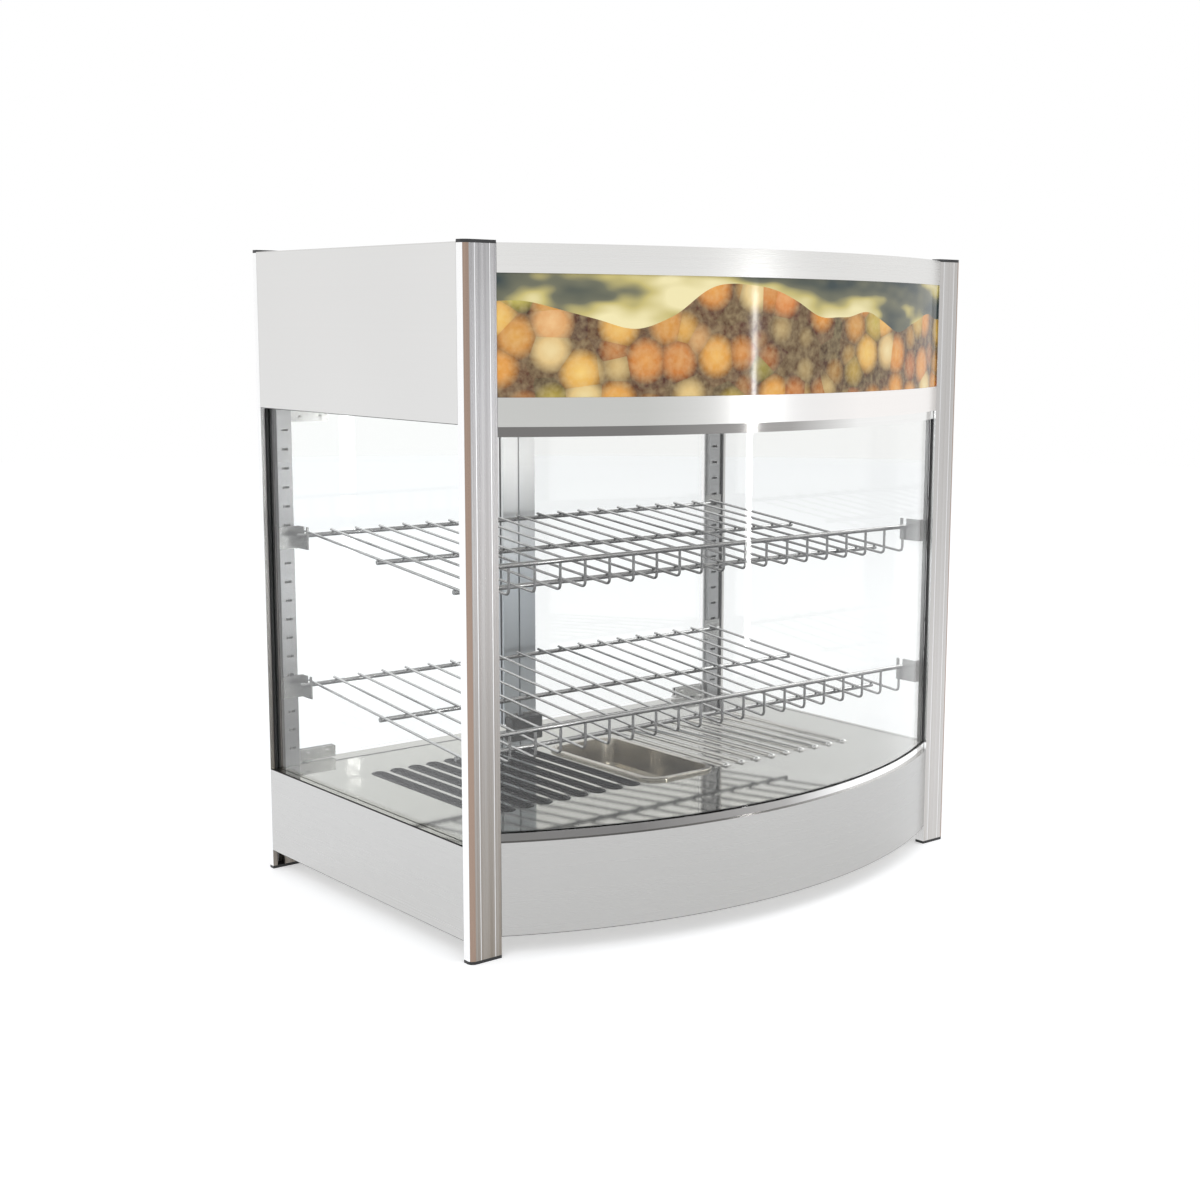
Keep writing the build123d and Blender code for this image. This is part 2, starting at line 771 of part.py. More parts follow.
# Bright sheet under the right slots, which throws the heat of the element up through them
reflector_width = (slots_each_side - 1) * slot_spacing + slot_width + flange
with BuildPart() as heat_reflector:
    with BuildSketch(Plane.XZ.offset(-(slots_middle_y - slot_length / 2 - flange / 2))):
        with Locations((right_middle, base_high - reflector_drop)):
            Rectangle(reflector_width, sheet)
        for side in (-1, 1):
            reflector_edge = right_middle + side * (reflector_width - sheet) / 2
            with Locations((reflector_edge, base_high - reflector_drop)):
                Rectangle(sheet, reflector_drop - slot_lip - sheet, align=(Align.CENTER, Align.MIN))
    extrude(amount=-(slot_length + flange))
    for side in (-1, 1):
        with BuildSketch(Plane.XY.offset(base_high)):
            edge_x = right_middle + side * (reflector_width / 2 + flange / 4 - sheet)
            with Locations((edge_x, slots_middle_y)):
                Rectangle(flange / 2, slot_length)
        extrude(amount=-sheet)
        with BuildSketch(Plane.XY.offset(base_high)):
            with Locations((right_middle + side * (reflector_width - sheet) / 2, slots_middle_y)):
                Rectangle(sheet, slot_length)
        extrude(amount=-(reflector_drop - sheet / 2))
save(heat_reflector, "heat_reflector")

# Wiring pieces in the base: a terminal block on the bottom plate
with BuildPart() as terminal_block:
    with BuildSketch(Plane.XY.offset(base_low + sheet)):
        with Locations((gland_x - 2 * flange, rear_y - 4 * flange)):
            Rectangle(3 * flange, flange)
    extrude(amount=flange)
    with BuildSketch(Plane.XY.offset(base_low + sheet + flange)):
        with Locations((gland_x - 2 * flange, rear_y - 4 * flange)):
            with GridLocations(flange / 2, flange / 2, 5, 2):
                Rectangle(flange / 4, flange / 4)
    extrude(amount=-sheet, mode=Mode.SUBTRACT)
save(terminal_block, "terminal_block")

# Cord gland in the rear sheet
with BuildPart() as cord_gland:
    with BuildSketch(Plane.XZ.offset(-rear_y)):
        with Locations((gland_x, control_z)):
            RegularPolygon(gland_radius, 6)
    extrude(amount=-gland_length / 3)
    with BuildSketch(Plane.XZ.offset(-rear_y)):
        with Locations((gland_x, control_z)):
            Circle(gland_bore + post_wall)
    extrude(amount=-gland_length)
    with BuildSketch(Plane.XZ.offset(-rear_y)):
        with Locations((gland_x, control_z)):
            Circle(gland_bore + post_wall)
    extrude(amount=gland_length)
    with BuildSketch(Plane.XZ.offset(-panel_face)):
        with Locations((gland_x, control_z)):
            RegularPolygon(gland_radius, 6)
    extrude(amount=gland_length / 3)
    with BuildSketch(Plane.XZ.offset(-rear_y - gland_length)):
        with Locations((gland_x, control_z)):
            Circle(gland_bore)
    extrude(amount=2 * gland_length, mode=Mode.SUBTRACT)
save(cord_gland, "cord_gland")

# Pilot lamp: a domed lens on a short body
with BuildPart() as pilot_lamp:
    with BuildSketch(Plane.XZ.offset(-rear_y)):
        with Locations((pilot_x, control_z)):
            Circle(pilot_radius + post_wall)
    extrude(amount=-post_wall)
    with BuildSketch(Plane.XZ.offset(-rear_y - post_wall)):
        with Locations((pilot_x, control_z)):
            Circle(pilot_radius)
    extrude(amount=-pilot_radius / 2)
    chamfer(pilot_lamp.edges().group_by(Axis.Y)[-1], pilot_radius / 3)
    with BuildSketch(Plane.XZ.offset(-rear_y)):
        with Locations((pilot_x, control_z)):
            Rectangle(pilot_radius, pilot_radius)
    extrude(amount=switch_depth)
save(pilot_lamp, "pilot_lamp")

# Thermostat behind the rear sheet, and its knob with the shaft
with BuildPart() as thermostat:
    with BuildSketch(Plane.XZ.offset(-panel_face)):
        with Locations((knob_x, control_z)):
            RectangleRounded(thermostat_size, thermostat_size, post_wall)
    extrude(amount=thermostat_depth)
    with BuildSketch(Plane.XZ.offset(-panel_face)):
        with Locations((knob_x, control_z)):
            Circle(shaft_radius + pin_play)
    extrude(amount=thermostat_depth / 2, mode=Mode.SUBTRACT)
save(thermostat, "thermostat")

knob_base = rear_y + free_gap
knob_top = rear_y + knob_reach
with BuildPart() as thermostat_knob:
    with BuildSketch(Plane.XZ.offset(-knob_base)):
        with Locations((knob_x, control_z)):
            Circle(knob_radius)
    extrude(amount=-knob_skirt)
    with BuildSketch(Plane.XZ.offset(-knob_base)):
        with Locations((knob_x, control_z)):
            Circle(knob_radius - knob_skirt)
    extrude(amount=-(knob_top - knob_base) / 2)
    with BuildSketch(Plane.XZ.offset(-knob_base)):
        with Locations((knob_x, control_z)):
            SlotOverall(2 * (knob_radius - 2 * knob_skirt), knob_grip, rotation=90)
    extrude(amount=-(knob_top - knob_base))
    with BuildSketch(Plane.XZ.offset(-knob_base)):
        with Locations((knob_x, control_z)):
            Circle(shaft_radius)
    extrude(amount=thermostat_depth / 2)
save(thermostat_knob, "thermostat_knob")


# Rocker switches: a shared pair of bezels with tubs, and one rocker in each
rocker_pivot_y = rear_y + free_gap
switch_rim_thick = 2.0


def switch_bezel(x):
    """A rim outside the sheet and an open tub behind it, with two trunnion holes."""
    with BuildPart() as bezel:
        with BuildSketch(Plane.XZ.offset(-rear_y)):
            with Locations((x, control_z)):
                RectangleRounded(switch_body_x + 2 * switch_rim, switch_body_z + 2 * switch_rim, switch_rim)
        extrude(amount=-switch_rim_thick)
        with BuildSketch(Plane.XZ.offset(-rear_y)):
            with Locations((x, control_z)):
                Rectangle(switch_body_x, switch_body_z)
        extrude(amount=switch_depth)
        with BuildSketch(Plane.XZ.offset(-rear_y - switch_rim_thick)):
            with Locations((x, control_z)):
                Rectangle(switch_open_x, switch_open_z)
        extrude(amount=switch_rim_thick + switch_depth - 2 * switch_wall, mode=Mode.SUBTRACT)
        with BuildSketch(Plane.YZ.offset(x - switch_body_x / 2)):
            with Locations((rocker_pivot_y, control_z)):
                Circle(trunnion_radius + pin_play)
        extrude(amount=switch_body_x, mode=Mode.SUBTRACT)
    return bezel.part


with BuildPart() as switch_bezels:
    add(switch_bezel(power_x))
    add(switch_bezel(lamp_switch_x))
save(switch_bezels, "switch_bezels")


def rocker(x):
    """A rocker with its upper end pressed in, on trunnions at the face of the sheet."""
    tilted = Plane(
        origin=(x - rocker_width / 2, rocker_pivot_y, control_z),
        x_dir=(0, 1, 0),
        z_dir=(1, 0, 0),
    ).rotated((rocker_tilt, 0, 0))
    with BuildPart() as button:
        with BuildSketch(tilted):
            with BuildLine():
                Polyline(
                    (-rocker_back, -rocker_half * 0.7),
                    (-rocker_back, rocker_half * 0.7),
                    (rocker_crown, rocker_half),
                    (rocker_valley, 0),
                    (rocker_crown, -rocker_half),
                    (-rocker_back, -rocker_half * 0.7),
                )
            make_face()
        extrude(amount=rocker_width)
        with BuildSketch(Plane.YZ.offset(x - switch_body_x / 2)):
            with Locations((rocker_pivot_y, control_z)):
                Circle(trunnion_radius)
        extrude(amount=switch_body_x)
    return button


power_rocker = rocker(power_x)
lamp_rocker = rocker(lamp_switch_x)
save(power_rocker, "power_rocker")
save(lamp_rocker, "lamp_rocker")

# Rear doors: glass, stile with pull, clamp hinges with pins, and strike plate
door_low = floor_top + door_floor_gap
door_high = window_high - door_top_gap
door_glass_low = door_low + clamp_height - clamp_bite
door_glass_high = door_high - clamp_height + clamp_bite
stile_edge = -door_split / 2
stile_middle_x = stile_edge - stile_width / 2

with BuildPart() as left_door_glass:
    with BuildSketch(Plane.XY.offset(door_glass_low)):
        with Locations((-pivot_x - clamp_end, door_y)):
            Rectangle(
                pivot_x + clamp_end + stile_edge - stile_wall - seat_gap,
                door_glass_thick,
                align=(Align.MIN, Align.CENTER),
            )
    extrude(amount=door_glass_high - door_glass_low)

with BuildPart() as left_door_stile:
    with BuildSketch(Plane.XY.offset(door_glass_low)):
        with Locations((stile_middle_x, door_y)):
            Rectangle(stile_width, stile_depth)
        with Locations((stile_edge - stile_wall, door_y)):
            Rectangle(
                stile_width,
                door_glass_thick + 2 * seat_gap,
                align=(Align.MAX, Align.CENTER),
                mode=Mode.SUBTRACT,
            )
        with Locations((stile_edge - stile_width, door_y + stile_depth / 2)):
            Rectangle(pull_thick, pull_reach, align=(Align.MIN, Align.MIN))
        with Locations((stile_edge - stile_width, door_y + stile_depth / 2 + pull_reach)):
            Rectangle(3 * pull_thick, pull_thick, align=(Align.MIN, Align.MAX))
    extrude(amount=door_glass_high - door_glass_low)


def hinge_clamp(low, slot_low, pin_low):
    """A U block that grips a corner of the left door glass, with its pin and set-screw seats."""
    with BuildPart() as clamp:
        with BuildSketch(Plane.XY.offset(low)):
            with Locations((-pivot_x - clamp_end, door_y)):
                Rectangle(clamp_length, clamp_thick, align=(Align.MIN, Align.CENTER))
        extrude(amount=clamp_height)
        with BuildSketch(Plane.XY.offset(slot_low)):
            with Locations((-pivot_x - clamp_end, door_y)):
                Rectangle(clamp_length, door_glass_thick, align=(Align.MIN, Align.CENTER))
        extrude(amount=clamp_bite, mode=Mode.SUBTRACT)
        with BuildSketch(Plane.XZ.offset(-(door_y - clamp_thick / 2))):
            with Locations((-pivot_x - clamp_end + clamp_length / 2, slot_low + clamp_bite / 2)):
                with GridLocations(clamp_screw_spacing, 1, 2, 1):
                    RegularPolygon(clamp_screw_radius, 6)
        extrude(amount=-sheet, mode=Mode.SUBTRACT)
        with BuildSketch(Plane.XY.offset(pin_low)):
            with Locations((-pivot_x, door_y)):
                Circle(pin_radius)
        extrude(amount=pin_length + seat_gap)
    return clamp.part


with BuildPart() as left_door_hinges:
    add(hinge_clamp(door_low, door_glass_low, door_low - pin_length))
    add(hinge_clamp(door_high - clamp_height, door_glass_high - clamp_bite, door_high - seat_gap))

strike_y = door_y - stile_depth / 2
with BuildPart() as left_door_strike:
    with BuildSketch(Plane.XZ.offset(-strike_y)):
        with Locations((stile_middle_x, door_glass_low)):
            Rectangle(strike_width, strike_height, align=(Align.CENTER, Align.MIN))
    extrude(amount=sheet)

with BuildPart() as right_door_glass:
    mirror(left_door_glass.part, about=side_mirror)
with BuildPart() as right_door_stile:
    mirror(left_door_stile.part, about=side_mirror)
with BuildPart() as right_door_hinges:
    mirror(left_door_hinges.part, about=side_mirror)
with BuildPart() as right_door_strike:
    mirror(left_door_strike.part, about=side_mirror)

save(left_door_glass, "left_door_glass")
save(left_door_stile, "left_door_stile")
save(left_door_hinges, "left_door_hinges")
save(left_door_strike, "left_door_strike")
save(right_door_glass, "right_door_glass")
save(right_door_stile, "right_door_stile")
save(right_door_hinges, "right_door_hinges")
save(right_door_strike, "right_door_strike")

# Hinge bushes in the floor and ceiling plates, in which the door pins turn
with BuildPart() as hinge_bushes:
    for low, flange_low in ((door_low - pin_length - 1, floor_top), (ceiling_low - bush_flange_thick, None)):
        high = low + pin_length + 1 - door_floor_gap + bush_flange_thick
        if flange_low is None:
            flange_low = low
            high = door_high + pin_length + 1
        with BuildSketch(Plane.XY.offset(low)):
            with Locations(*pivots):
                Circle(bush_radius - seat_gap / 2)
        extrude(amount=high - low)
        with BuildSketch(Plane.XY.offset(flange_low)):
            with Locations(*pivots):
                Circle(bush_radius + bush_flange)
        extrude(amount=bush_flange_thick)
    with BuildSketch():
        with Locations(*pivots):
            Circle(pin_radius + pin_play)
    extrude(amount=height, mode=Mode.SUBTRACT)
save(hinge_bushes, "hinge_bushes")

# Black magnetic catch on the floor plate, against the strike plates of both doors
catch_y = strike_y - sheet - free_gap
with BuildPart() as magnetic_catch:
    with BuildSketch(Plane.XY.offset(floor_top)):
        with Locations((0, catch_y)):
            Rectangle(catch_width, catch_depth, align=(Align.CENTER, Align.MAX))
    extrude(amount=catch_height)
    fillet(magnetic_catch.edges().filter_by(Axis.X).group_by(Axis.Z)[-1].sort_by(Axis.Y)[0], clip_thick)
    with BuildSketch(Plane.XZ.offset(-catch_y)):
        with Locations((0, floor_top + catch_height / 2)):
            with GridLocations(catch_width / 2, 1, 2, 1):
                Rectangle(strike_width, catch_height / 2)
                Rectangle(strike_width - 2 * post_wall, catch_height / 4, mode=Mode.SUBTRACT)
    extrude(amount=sheet / 2, mode=Mode.SUBTRACT)
save(magnetic_catch, "magnetic_catch")


# Wire shelves: sloping wires that turn up into a fence under the thick front rail
def wire_shelf(seat):
    """One shelf whose rear bar and front rail both lie at height seat."""
    rise = bar_size / 2 + wire_size / 2 - weld
    bend_z = seat - fence_height
    slope = (seat + rise - bend_z) / (shelf_rear_y - shelf_rail_y)
    turn = degrees(atan2(slope, 1))
    rear_end = shelf_rear_y + wire_overhang
    corner = 2 * wire_size
    with BuildPart() as wire:
        with BuildLine() as route:
            Polyline(
                (-wire_span / 2, rear_end, bend_z + slope * (rear_end - shelf_rail_y)),
                (-wire_span / 2, shelf_rail_y + corner, bend_z + slope * corner),
                (-wire_span / 2, shelf_rail_y, bend_z + corner / 2),
                (-wire_span / 2, shelf_rail_y, seat),
            )
        start = Plane(origin=route.line @ 0, x_dir=(1, 0, 0), z_dir=route.line % 0)
        with BuildSketch(start):
            RegularPolygon(wire_size / 2, 6)
        sweep(transition=Transition.RIGHT)
    bar_rows = (
        (shelf_rear_y, seat, bar_overhang),
        (shelf_rail_y, seat, bar_overhang),
        (shelf_rail_y + middle_bar_back, bend_z + slope * middle_bar_back - rise, wire_size / 2),
        (shelf_rail_y + front_bar_back, bend_z + slope * front_bar_back - rise, wire_size / 2),
    )
    with BuildPart() as shelf:
        for bar_y, bar_z, overhang in bar_rows:
            bar_length = wire_span + 2 * overhang
            with BuildSketch(Plane.YZ.offset(-bar_length / 2)):
                with Locations((bar_y, bar_z)):
                    RegularPolygon(bar_size / 2, 8, rotation=turn)
            extrude(amount=bar_length)
        with Locations((wire_span / 2, 0, 0)):
            with GridLocations(wire_span / (wire_count - 1), 1, wire_count, 1):
                add(wire.part)
    return shelf


upper_shelf = wire_shelf(upper_seat)
lower_shelf = wire_shelf(lower_seat)
save(upper_shelf, "upper_shelf")
save(lower_shelf, "lower_shelf")
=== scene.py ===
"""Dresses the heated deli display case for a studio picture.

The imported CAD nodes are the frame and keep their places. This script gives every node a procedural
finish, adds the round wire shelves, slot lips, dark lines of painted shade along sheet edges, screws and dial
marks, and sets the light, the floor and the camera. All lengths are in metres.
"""

import logging
import math
from dataclasses import dataclass
from enum import Enum
from typing import Protocol

import bmesh
import bpy
from mathutils import Matrix, Vector


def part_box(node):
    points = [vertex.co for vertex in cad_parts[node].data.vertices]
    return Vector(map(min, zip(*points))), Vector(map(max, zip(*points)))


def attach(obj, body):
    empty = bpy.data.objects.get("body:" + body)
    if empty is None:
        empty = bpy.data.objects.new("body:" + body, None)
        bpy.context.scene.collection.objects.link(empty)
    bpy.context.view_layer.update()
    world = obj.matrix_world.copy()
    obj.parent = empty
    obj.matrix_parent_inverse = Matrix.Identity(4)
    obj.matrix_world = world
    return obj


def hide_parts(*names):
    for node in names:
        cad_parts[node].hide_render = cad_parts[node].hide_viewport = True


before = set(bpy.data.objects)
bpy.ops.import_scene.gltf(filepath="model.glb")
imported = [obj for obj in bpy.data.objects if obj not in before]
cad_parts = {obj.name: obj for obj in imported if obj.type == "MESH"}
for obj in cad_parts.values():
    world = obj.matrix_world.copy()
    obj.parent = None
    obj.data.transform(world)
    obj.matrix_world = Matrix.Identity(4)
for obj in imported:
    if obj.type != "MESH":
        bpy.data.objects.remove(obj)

LOG = logging.getLogger("display_case")
MM = 0.001
FINE_RELIEF = 0.05 * MM
WIRE_ROUNDNESS = 3

Colour = tuple[float, float, float]
Point = tuple[float, float, float]
Pair = tuple[float, float]
Profile = tuple[Pair, ...]
Stop = tuple[float, Colour]
Socket = bpy.types.NodeSocket
Material = bpy.types.Material

BLACK: Colour = (0.0, 0.0, 0.0)
WHITE: Colour = (1.0, 1.0, 1.0)


class Finish(Protocol):
    """Anything that has a name and builds a material."""

    @property
    def name(self) -> str:
        """Gives the name of the material.

        Returns:
            The name.
        """

    def material(self) -> Material:
        """Builds the material.

        Returns:
            The material.
        """


class Grain(Enum):
    """Direction of the brushing, as noise scales along X, Y and Z."""

    LEVEL = (2.0, 2.0, 2400.0)
    UPRIGHT = (1500.0, 1500.0, 2.0)
    ACROSS = (2.0, 2400.0, 2400.0)
    NONE = (40.0, 40.0, 40.0)


class Slot(Enum):
    """Names of material slots."""

    WIRE = "bright_wire"
    POLISHED = "polished_sheet"
    SCREW = "strike_steel"
    STRIP = "strip_steel"
    LABEL = "white_plastic"
    SEAL = "black_seal"


class Graph:
    """One procedural material while its nodes are being joined."""

    noise_low = 0.3
    noise_high = 0.7
    mix_inputs = (6, 7)
    mix_output = 2

    def __init__(self, name: str) -> None:
        """Starts an empty material.

        Args:
            name: Name of the material.
        """
        self.material = bpy.data.materials.new(name)
        self.material.use_nodes = True
        self.tree = self.material.node_tree
        self.tree.nodes.clear()
        self.output = self.node("ShaderNodeOutputMaterial")
        self.place = self.node("ShaderNodeTexCoord").outputs["Object"]

    def node(self, kind: str, **settings: str) -> bpy.types.Node:
        """Adds a node.

        Args:
            kind: Blender's name of the node type.
            **settings: Attributes of the node to set.

        Returns:
            The new node.
        """
        made = self.tree.nodes.new(kind)
        for key, value in settings.items():
            setattr(made, key, value)
        return made

    def join(self, source: Socket, target: Socket) -> None:
        """Links an output to an input.

        Args:
            source: The output socket.
            target: The input socket.
        """
        self.tree.links.new(source, target)

    def noise(self, scale: Point, detail: float = 3.0) -> Socket:
        """Adds noise that is stretched by a scale on each axis.

        Args:
            scale: Scale along X, Y and Z, per metre.
            detail: Number of octaves.

        Returns:
            The noise value.
        """
        mapping = self.node("ShaderNodeMapping")
        mapping.inputs["Scale"].default_value = scale
        self.join(self.place, mapping.inputs["Vector"])
        made = self.node("ShaderNodeTexNoise")
        made.inputs["Scale"].default_value = 1.0
        made.inputs["Detail"].default_value = detail
        self.join(mapping.outputs["Vector"], made.inputs["Vector"])
        return made.outputs["Fac"]

    def spread(self, value: Socket, low: float, high: float) -> Socket:
        """Maps a noise value from its usual middle range to a range of results.

        Args:
            value: The value to map.
            low: Result at the low end of that range.
            high: Result at the high end of it.

        Returns:
            The mapped value.
        """
        made = self.node("ShaderNodeMapRange")
        made.inputs["From Min"].default_value = self.noise_low
        made.inputs["From Max"].default_value = self.noise_high
        made.inputs["To Min"].default_value = low
        made.inputs["To Max"].default_value = high
        self.join(value, made.inputs["Value"])
        return made.outputs["Result"]

    def ramp(self, value: Socket, stops: tuple[Stop, ...]) -> Socket:
        """Adds a colour ramp.

        Args:
            value: The value that picks the colour.
            stops: Position and colour of each stop.

        Returns:
            The colour.
        """
        made = self.node("ShaderNodeValToRGB")
        bar = made.color_ramp
        while len(bar.elements) < len(stops):
            bar.elements.new(1.0)
        for element, (position, colour) in zip(bar.elements, stops):
            element.position = position
            element.color = (*colour, 1.0)
        self.join(value, made.inputs["Fac"])
        return made.outputs["Color"]

    def mix(
        self,
        amount: Socket | float,
        first: Socket | Colour,
        second: Socket | Colour,
        blend: str = "MIX",
    ) -> Socket:
        """Mixes two colours, each given as a socket or as a plain colour.

        Args:
            amount: Share of the second colour, as a socket or a plain number.
            first: First colour.
            second: Second colour.
            blend: Blend mode.

        Returns:
            The mixed colour.
        """
        made = self.node("ShaderNodeMix", data_type="RGBA", blend_type=blend)
        if isinstance(amount, float):
            made.inputs[0].default_value = amount
        else:
            self.join(amount, made.inputs[0])
        for number, colour in zip(self.mix_inputs, (first, second)):
            socket = made.inputs[number]
            if isinstance(colour, tuple):
                socket.default_value = (*colour, 1.0)
            else:
                self.join(colour, socket)
        return made.outputs[self.mix_output]

    def calc(self, operation: str, *values: Socket | float) -> Socket:
        """Adds a math node on sockets and plain numbers.

        Args:
            operation: Blender's name of the operation.
            *values: Its inputs.

        Returns:
            The result.
        """
        made = self.node("ShaderNodeMath", operation=operation)
        for socket, value in zip(made.inputs, values):
            if isinstance(value, (int, float)):
                socket.default_value = value
            else:
                self.join(value, socket)
        return made.outputs[0]

    def axis(self, name: str) -> Socket:
        """Gives one coordinate of the place on the object.

        Args:
            name: X, Y or Z.

        Returns:
            The coordinate in metres.
        """
        split = self.node("ShaderNodeSeparateXYZ")
        self.join(self.place, split.inputs["Vector"])
        return split.outputs[name]

    def facing(self, axis: str) -> Socket:
        """Tells which way the surface faces along an axis.

        Args:
            axis: X, Y or Z.

        Returns:
            0 where it faces down the axis, 0.5 across it and 1 up it.
        """
        split = self.node("ShaderNodeSeparateXYZ")
        self.join(self.node("ShaderNodeNewGeometry").outputs["Normal"], split.inputs["Vector"])
        return self.calc("MULTIPLY_ADD", split.outputs[axis], 0.5, 0.5)

    def seen(self) -> Socket:
        """Tells the rays that see or mirror a surface from those that only carry its light.

        Returns:
            1 for camera, glossy and transmission rays, and 0 for the others.
        """
        path = self.node("ShaderNodeLightPath")
        seen = self.calc("MAXIMUM", path.outputs["Is Camera Ray"], path.outputs["Is Glossy Ray"])
        return self.calc("MAXIMUM", seen, path.outputs["Is Transmission Ray"])

    def bump(self, height: Socket, strength: float, distance: float = FINE_RELIEF) -> Socket:
        """Adds a bump.

        Args:
            height: The height value.
            strength: How strongly it shows.
            distance: Height of a value of 1.

        Returns:
            The normal.
        """
        made = self.node("ShaderNodeBump")
        made.inputs["Strength"].default_value = strength
        made.inputs["Distance"].default_value = distance
        self.join(height, made.inputs["Height"])
        return made.outputs["Normal"]

    def surface(self, **inputs: Socket | Colour | float) -> bpy.types.Node:
        """Adds the Principled shader.

        Args:
            **inputs: Its inputs by name, with _ for a space, each a socket or a plain value.

        Returns:
            The shader node.
        """
        shader = self.node("ShaderNodeBsdfPrincipled")
        for key, value in inputs.items():
            socket = shader.inputs[key.replace("_", " ")]
            if isinstance(value, Socket):
                self.join(value, socket)
            elif isinstance(value, tuple):
                socket.default_value = (*value, 1.0)
            else:
                socket.default_value = value
        return shader

    def finish(self, shader: Socket) -> Material:
        """Sends a shader to the output.

        Args:
            shader: The shader socket.

        Returns:
            The finished material.
        """
        self.join(shader, self.output.inputs["Surface"])
        return self.material


@dataclass(frozen=True)
class Metal:
    """Sheet, wire or extruded metal with fine brushing and soft, large-scale unevenness."""

    name: str
    colour: Colour
    roughness: float = 0.3
    grain: Grain = Grain.LEVEL
    brushing: float = 0.05
    clouding: float = 0.06
    # Painted reflection: an optional darker colour at the foot that blends up to the main colour.
    painted_reflection_foot: Colour | None = None
    foot_height: float = 0.55
    # Painted reflection: an optional dark-to-light colour change across X.
    across: tuple[Colour, Colour] | None = None
    # Painted shade: an optional dark colour on surfaces facing down, so undersides come out dark and tops light.
    painted_underside_shade: Colour | None = None
    relief: float = 0.02
    foot_stops: tuple[float, float, float] = (0.58, 0.70, 0.85)
    across_scale: float = 1.8
    across_stops: tuple[float, float, float] = (0.2, 0.5, 0.68)
    facing_stops: tuple[float, float, float] = (0.2, 0.5, 0.8)
    side_share: float = 0.28
    cloud_scale: float = 4.0
    rough_range: Pair = (0.93, 1.08)

    def material(self) -> Material:
        """Builds the material.

        Returns:
            The material.
        """
        graph = Graph(self.name)
        lines = graph.noise(self.grain.value)
        clouds = graph.noise((self.cloud_scale,) * 3, 1.0)
        shade = graph.mix(graph.spread(clouds, 0.0, 1.0), self.grey(self.clouding), WHITE)
        streak = graph.mix(graph.spread(lines, 0.0, 1.0), self.grey(self.brushing), WHITE)
        toned = graph.mix(1.0, shade, streak, "MULTIPLY")
        low, high = self.rough_range
        shader = graph.surface(
            Base_Color=graph.mix(1.0, toned, self.tone(graph), "MULTIPLY"),
            Metallic=1.0,
            Roughness=graph.spread(lines, self.roughness * low, self.roughness * high),
            Normal=graph.bump(lines, self.relief),
        )
        return graph.finish(shader.outputs["BSDF"])

    def tone(self, graph: Graph) -> Socket | Colour:
        """Makes the main colour, which may change up or across the piece as a painted reflection, or round it as
        painted shade on the underside.

        Args:
            graph: The material that it is made in.

        Returns:
            The colour.
        """
        # Painted reflection: the colour ramps from the foot colour up to the main colour along Z.
        if self.painted_reflection_foot:
            rise = graph.calc("DIVIDE", graph.axis("Z"), self.foot_height)
            return graph.ramp(rise, tuple(zip(self.foot_stops, (self.painted_reflection_foot, self.middle, self.colour))))
        # Painted reflection: the colour ramps across X from the left colour through the main colour to the right
        # colour.
        if self.across:
            left, right = self.across
            share = graph.calc("ADD", graph.calc("MULTIPLY", graph.axis("X"), self.across_scale), 0.5)
            return graph.ramp(share, tuple(zip(self.across_stops, (left, self.colour, right))))
        # Painted shade: the colour ramps from dark on surfaces facing down to the main colour on surfaces facing
        # up.
        if self.painted_underside_shade:
            own = self.side_share
            side = tuple(a * (1 - own) + b * own for a, b in zip(self.painted_underside_shade, self.colour))
            return graph.ramp(graph.facing("Z"), tuple(zip(self.facing_stops, (self.painted_underside_shade, side, self.colour))))
        return self.colour

    @staticmethod
    def grey(darkening: float) -> Colour:
        """Gives a grey.

        Args:
            darkening: How far it is below white.

        Returns:
            The grey.
        """
        return (1 - darkening,) * 3

    @property
    def middle(self) -> Colour:
        """Gives the colour half way between the painted reflection at the foot and the main colour at the top.

        Returns:
            The colour.
        """
        return tuple((a + b) / 2 for a, b in zip(self.painted_reflection_foot, self.colour))


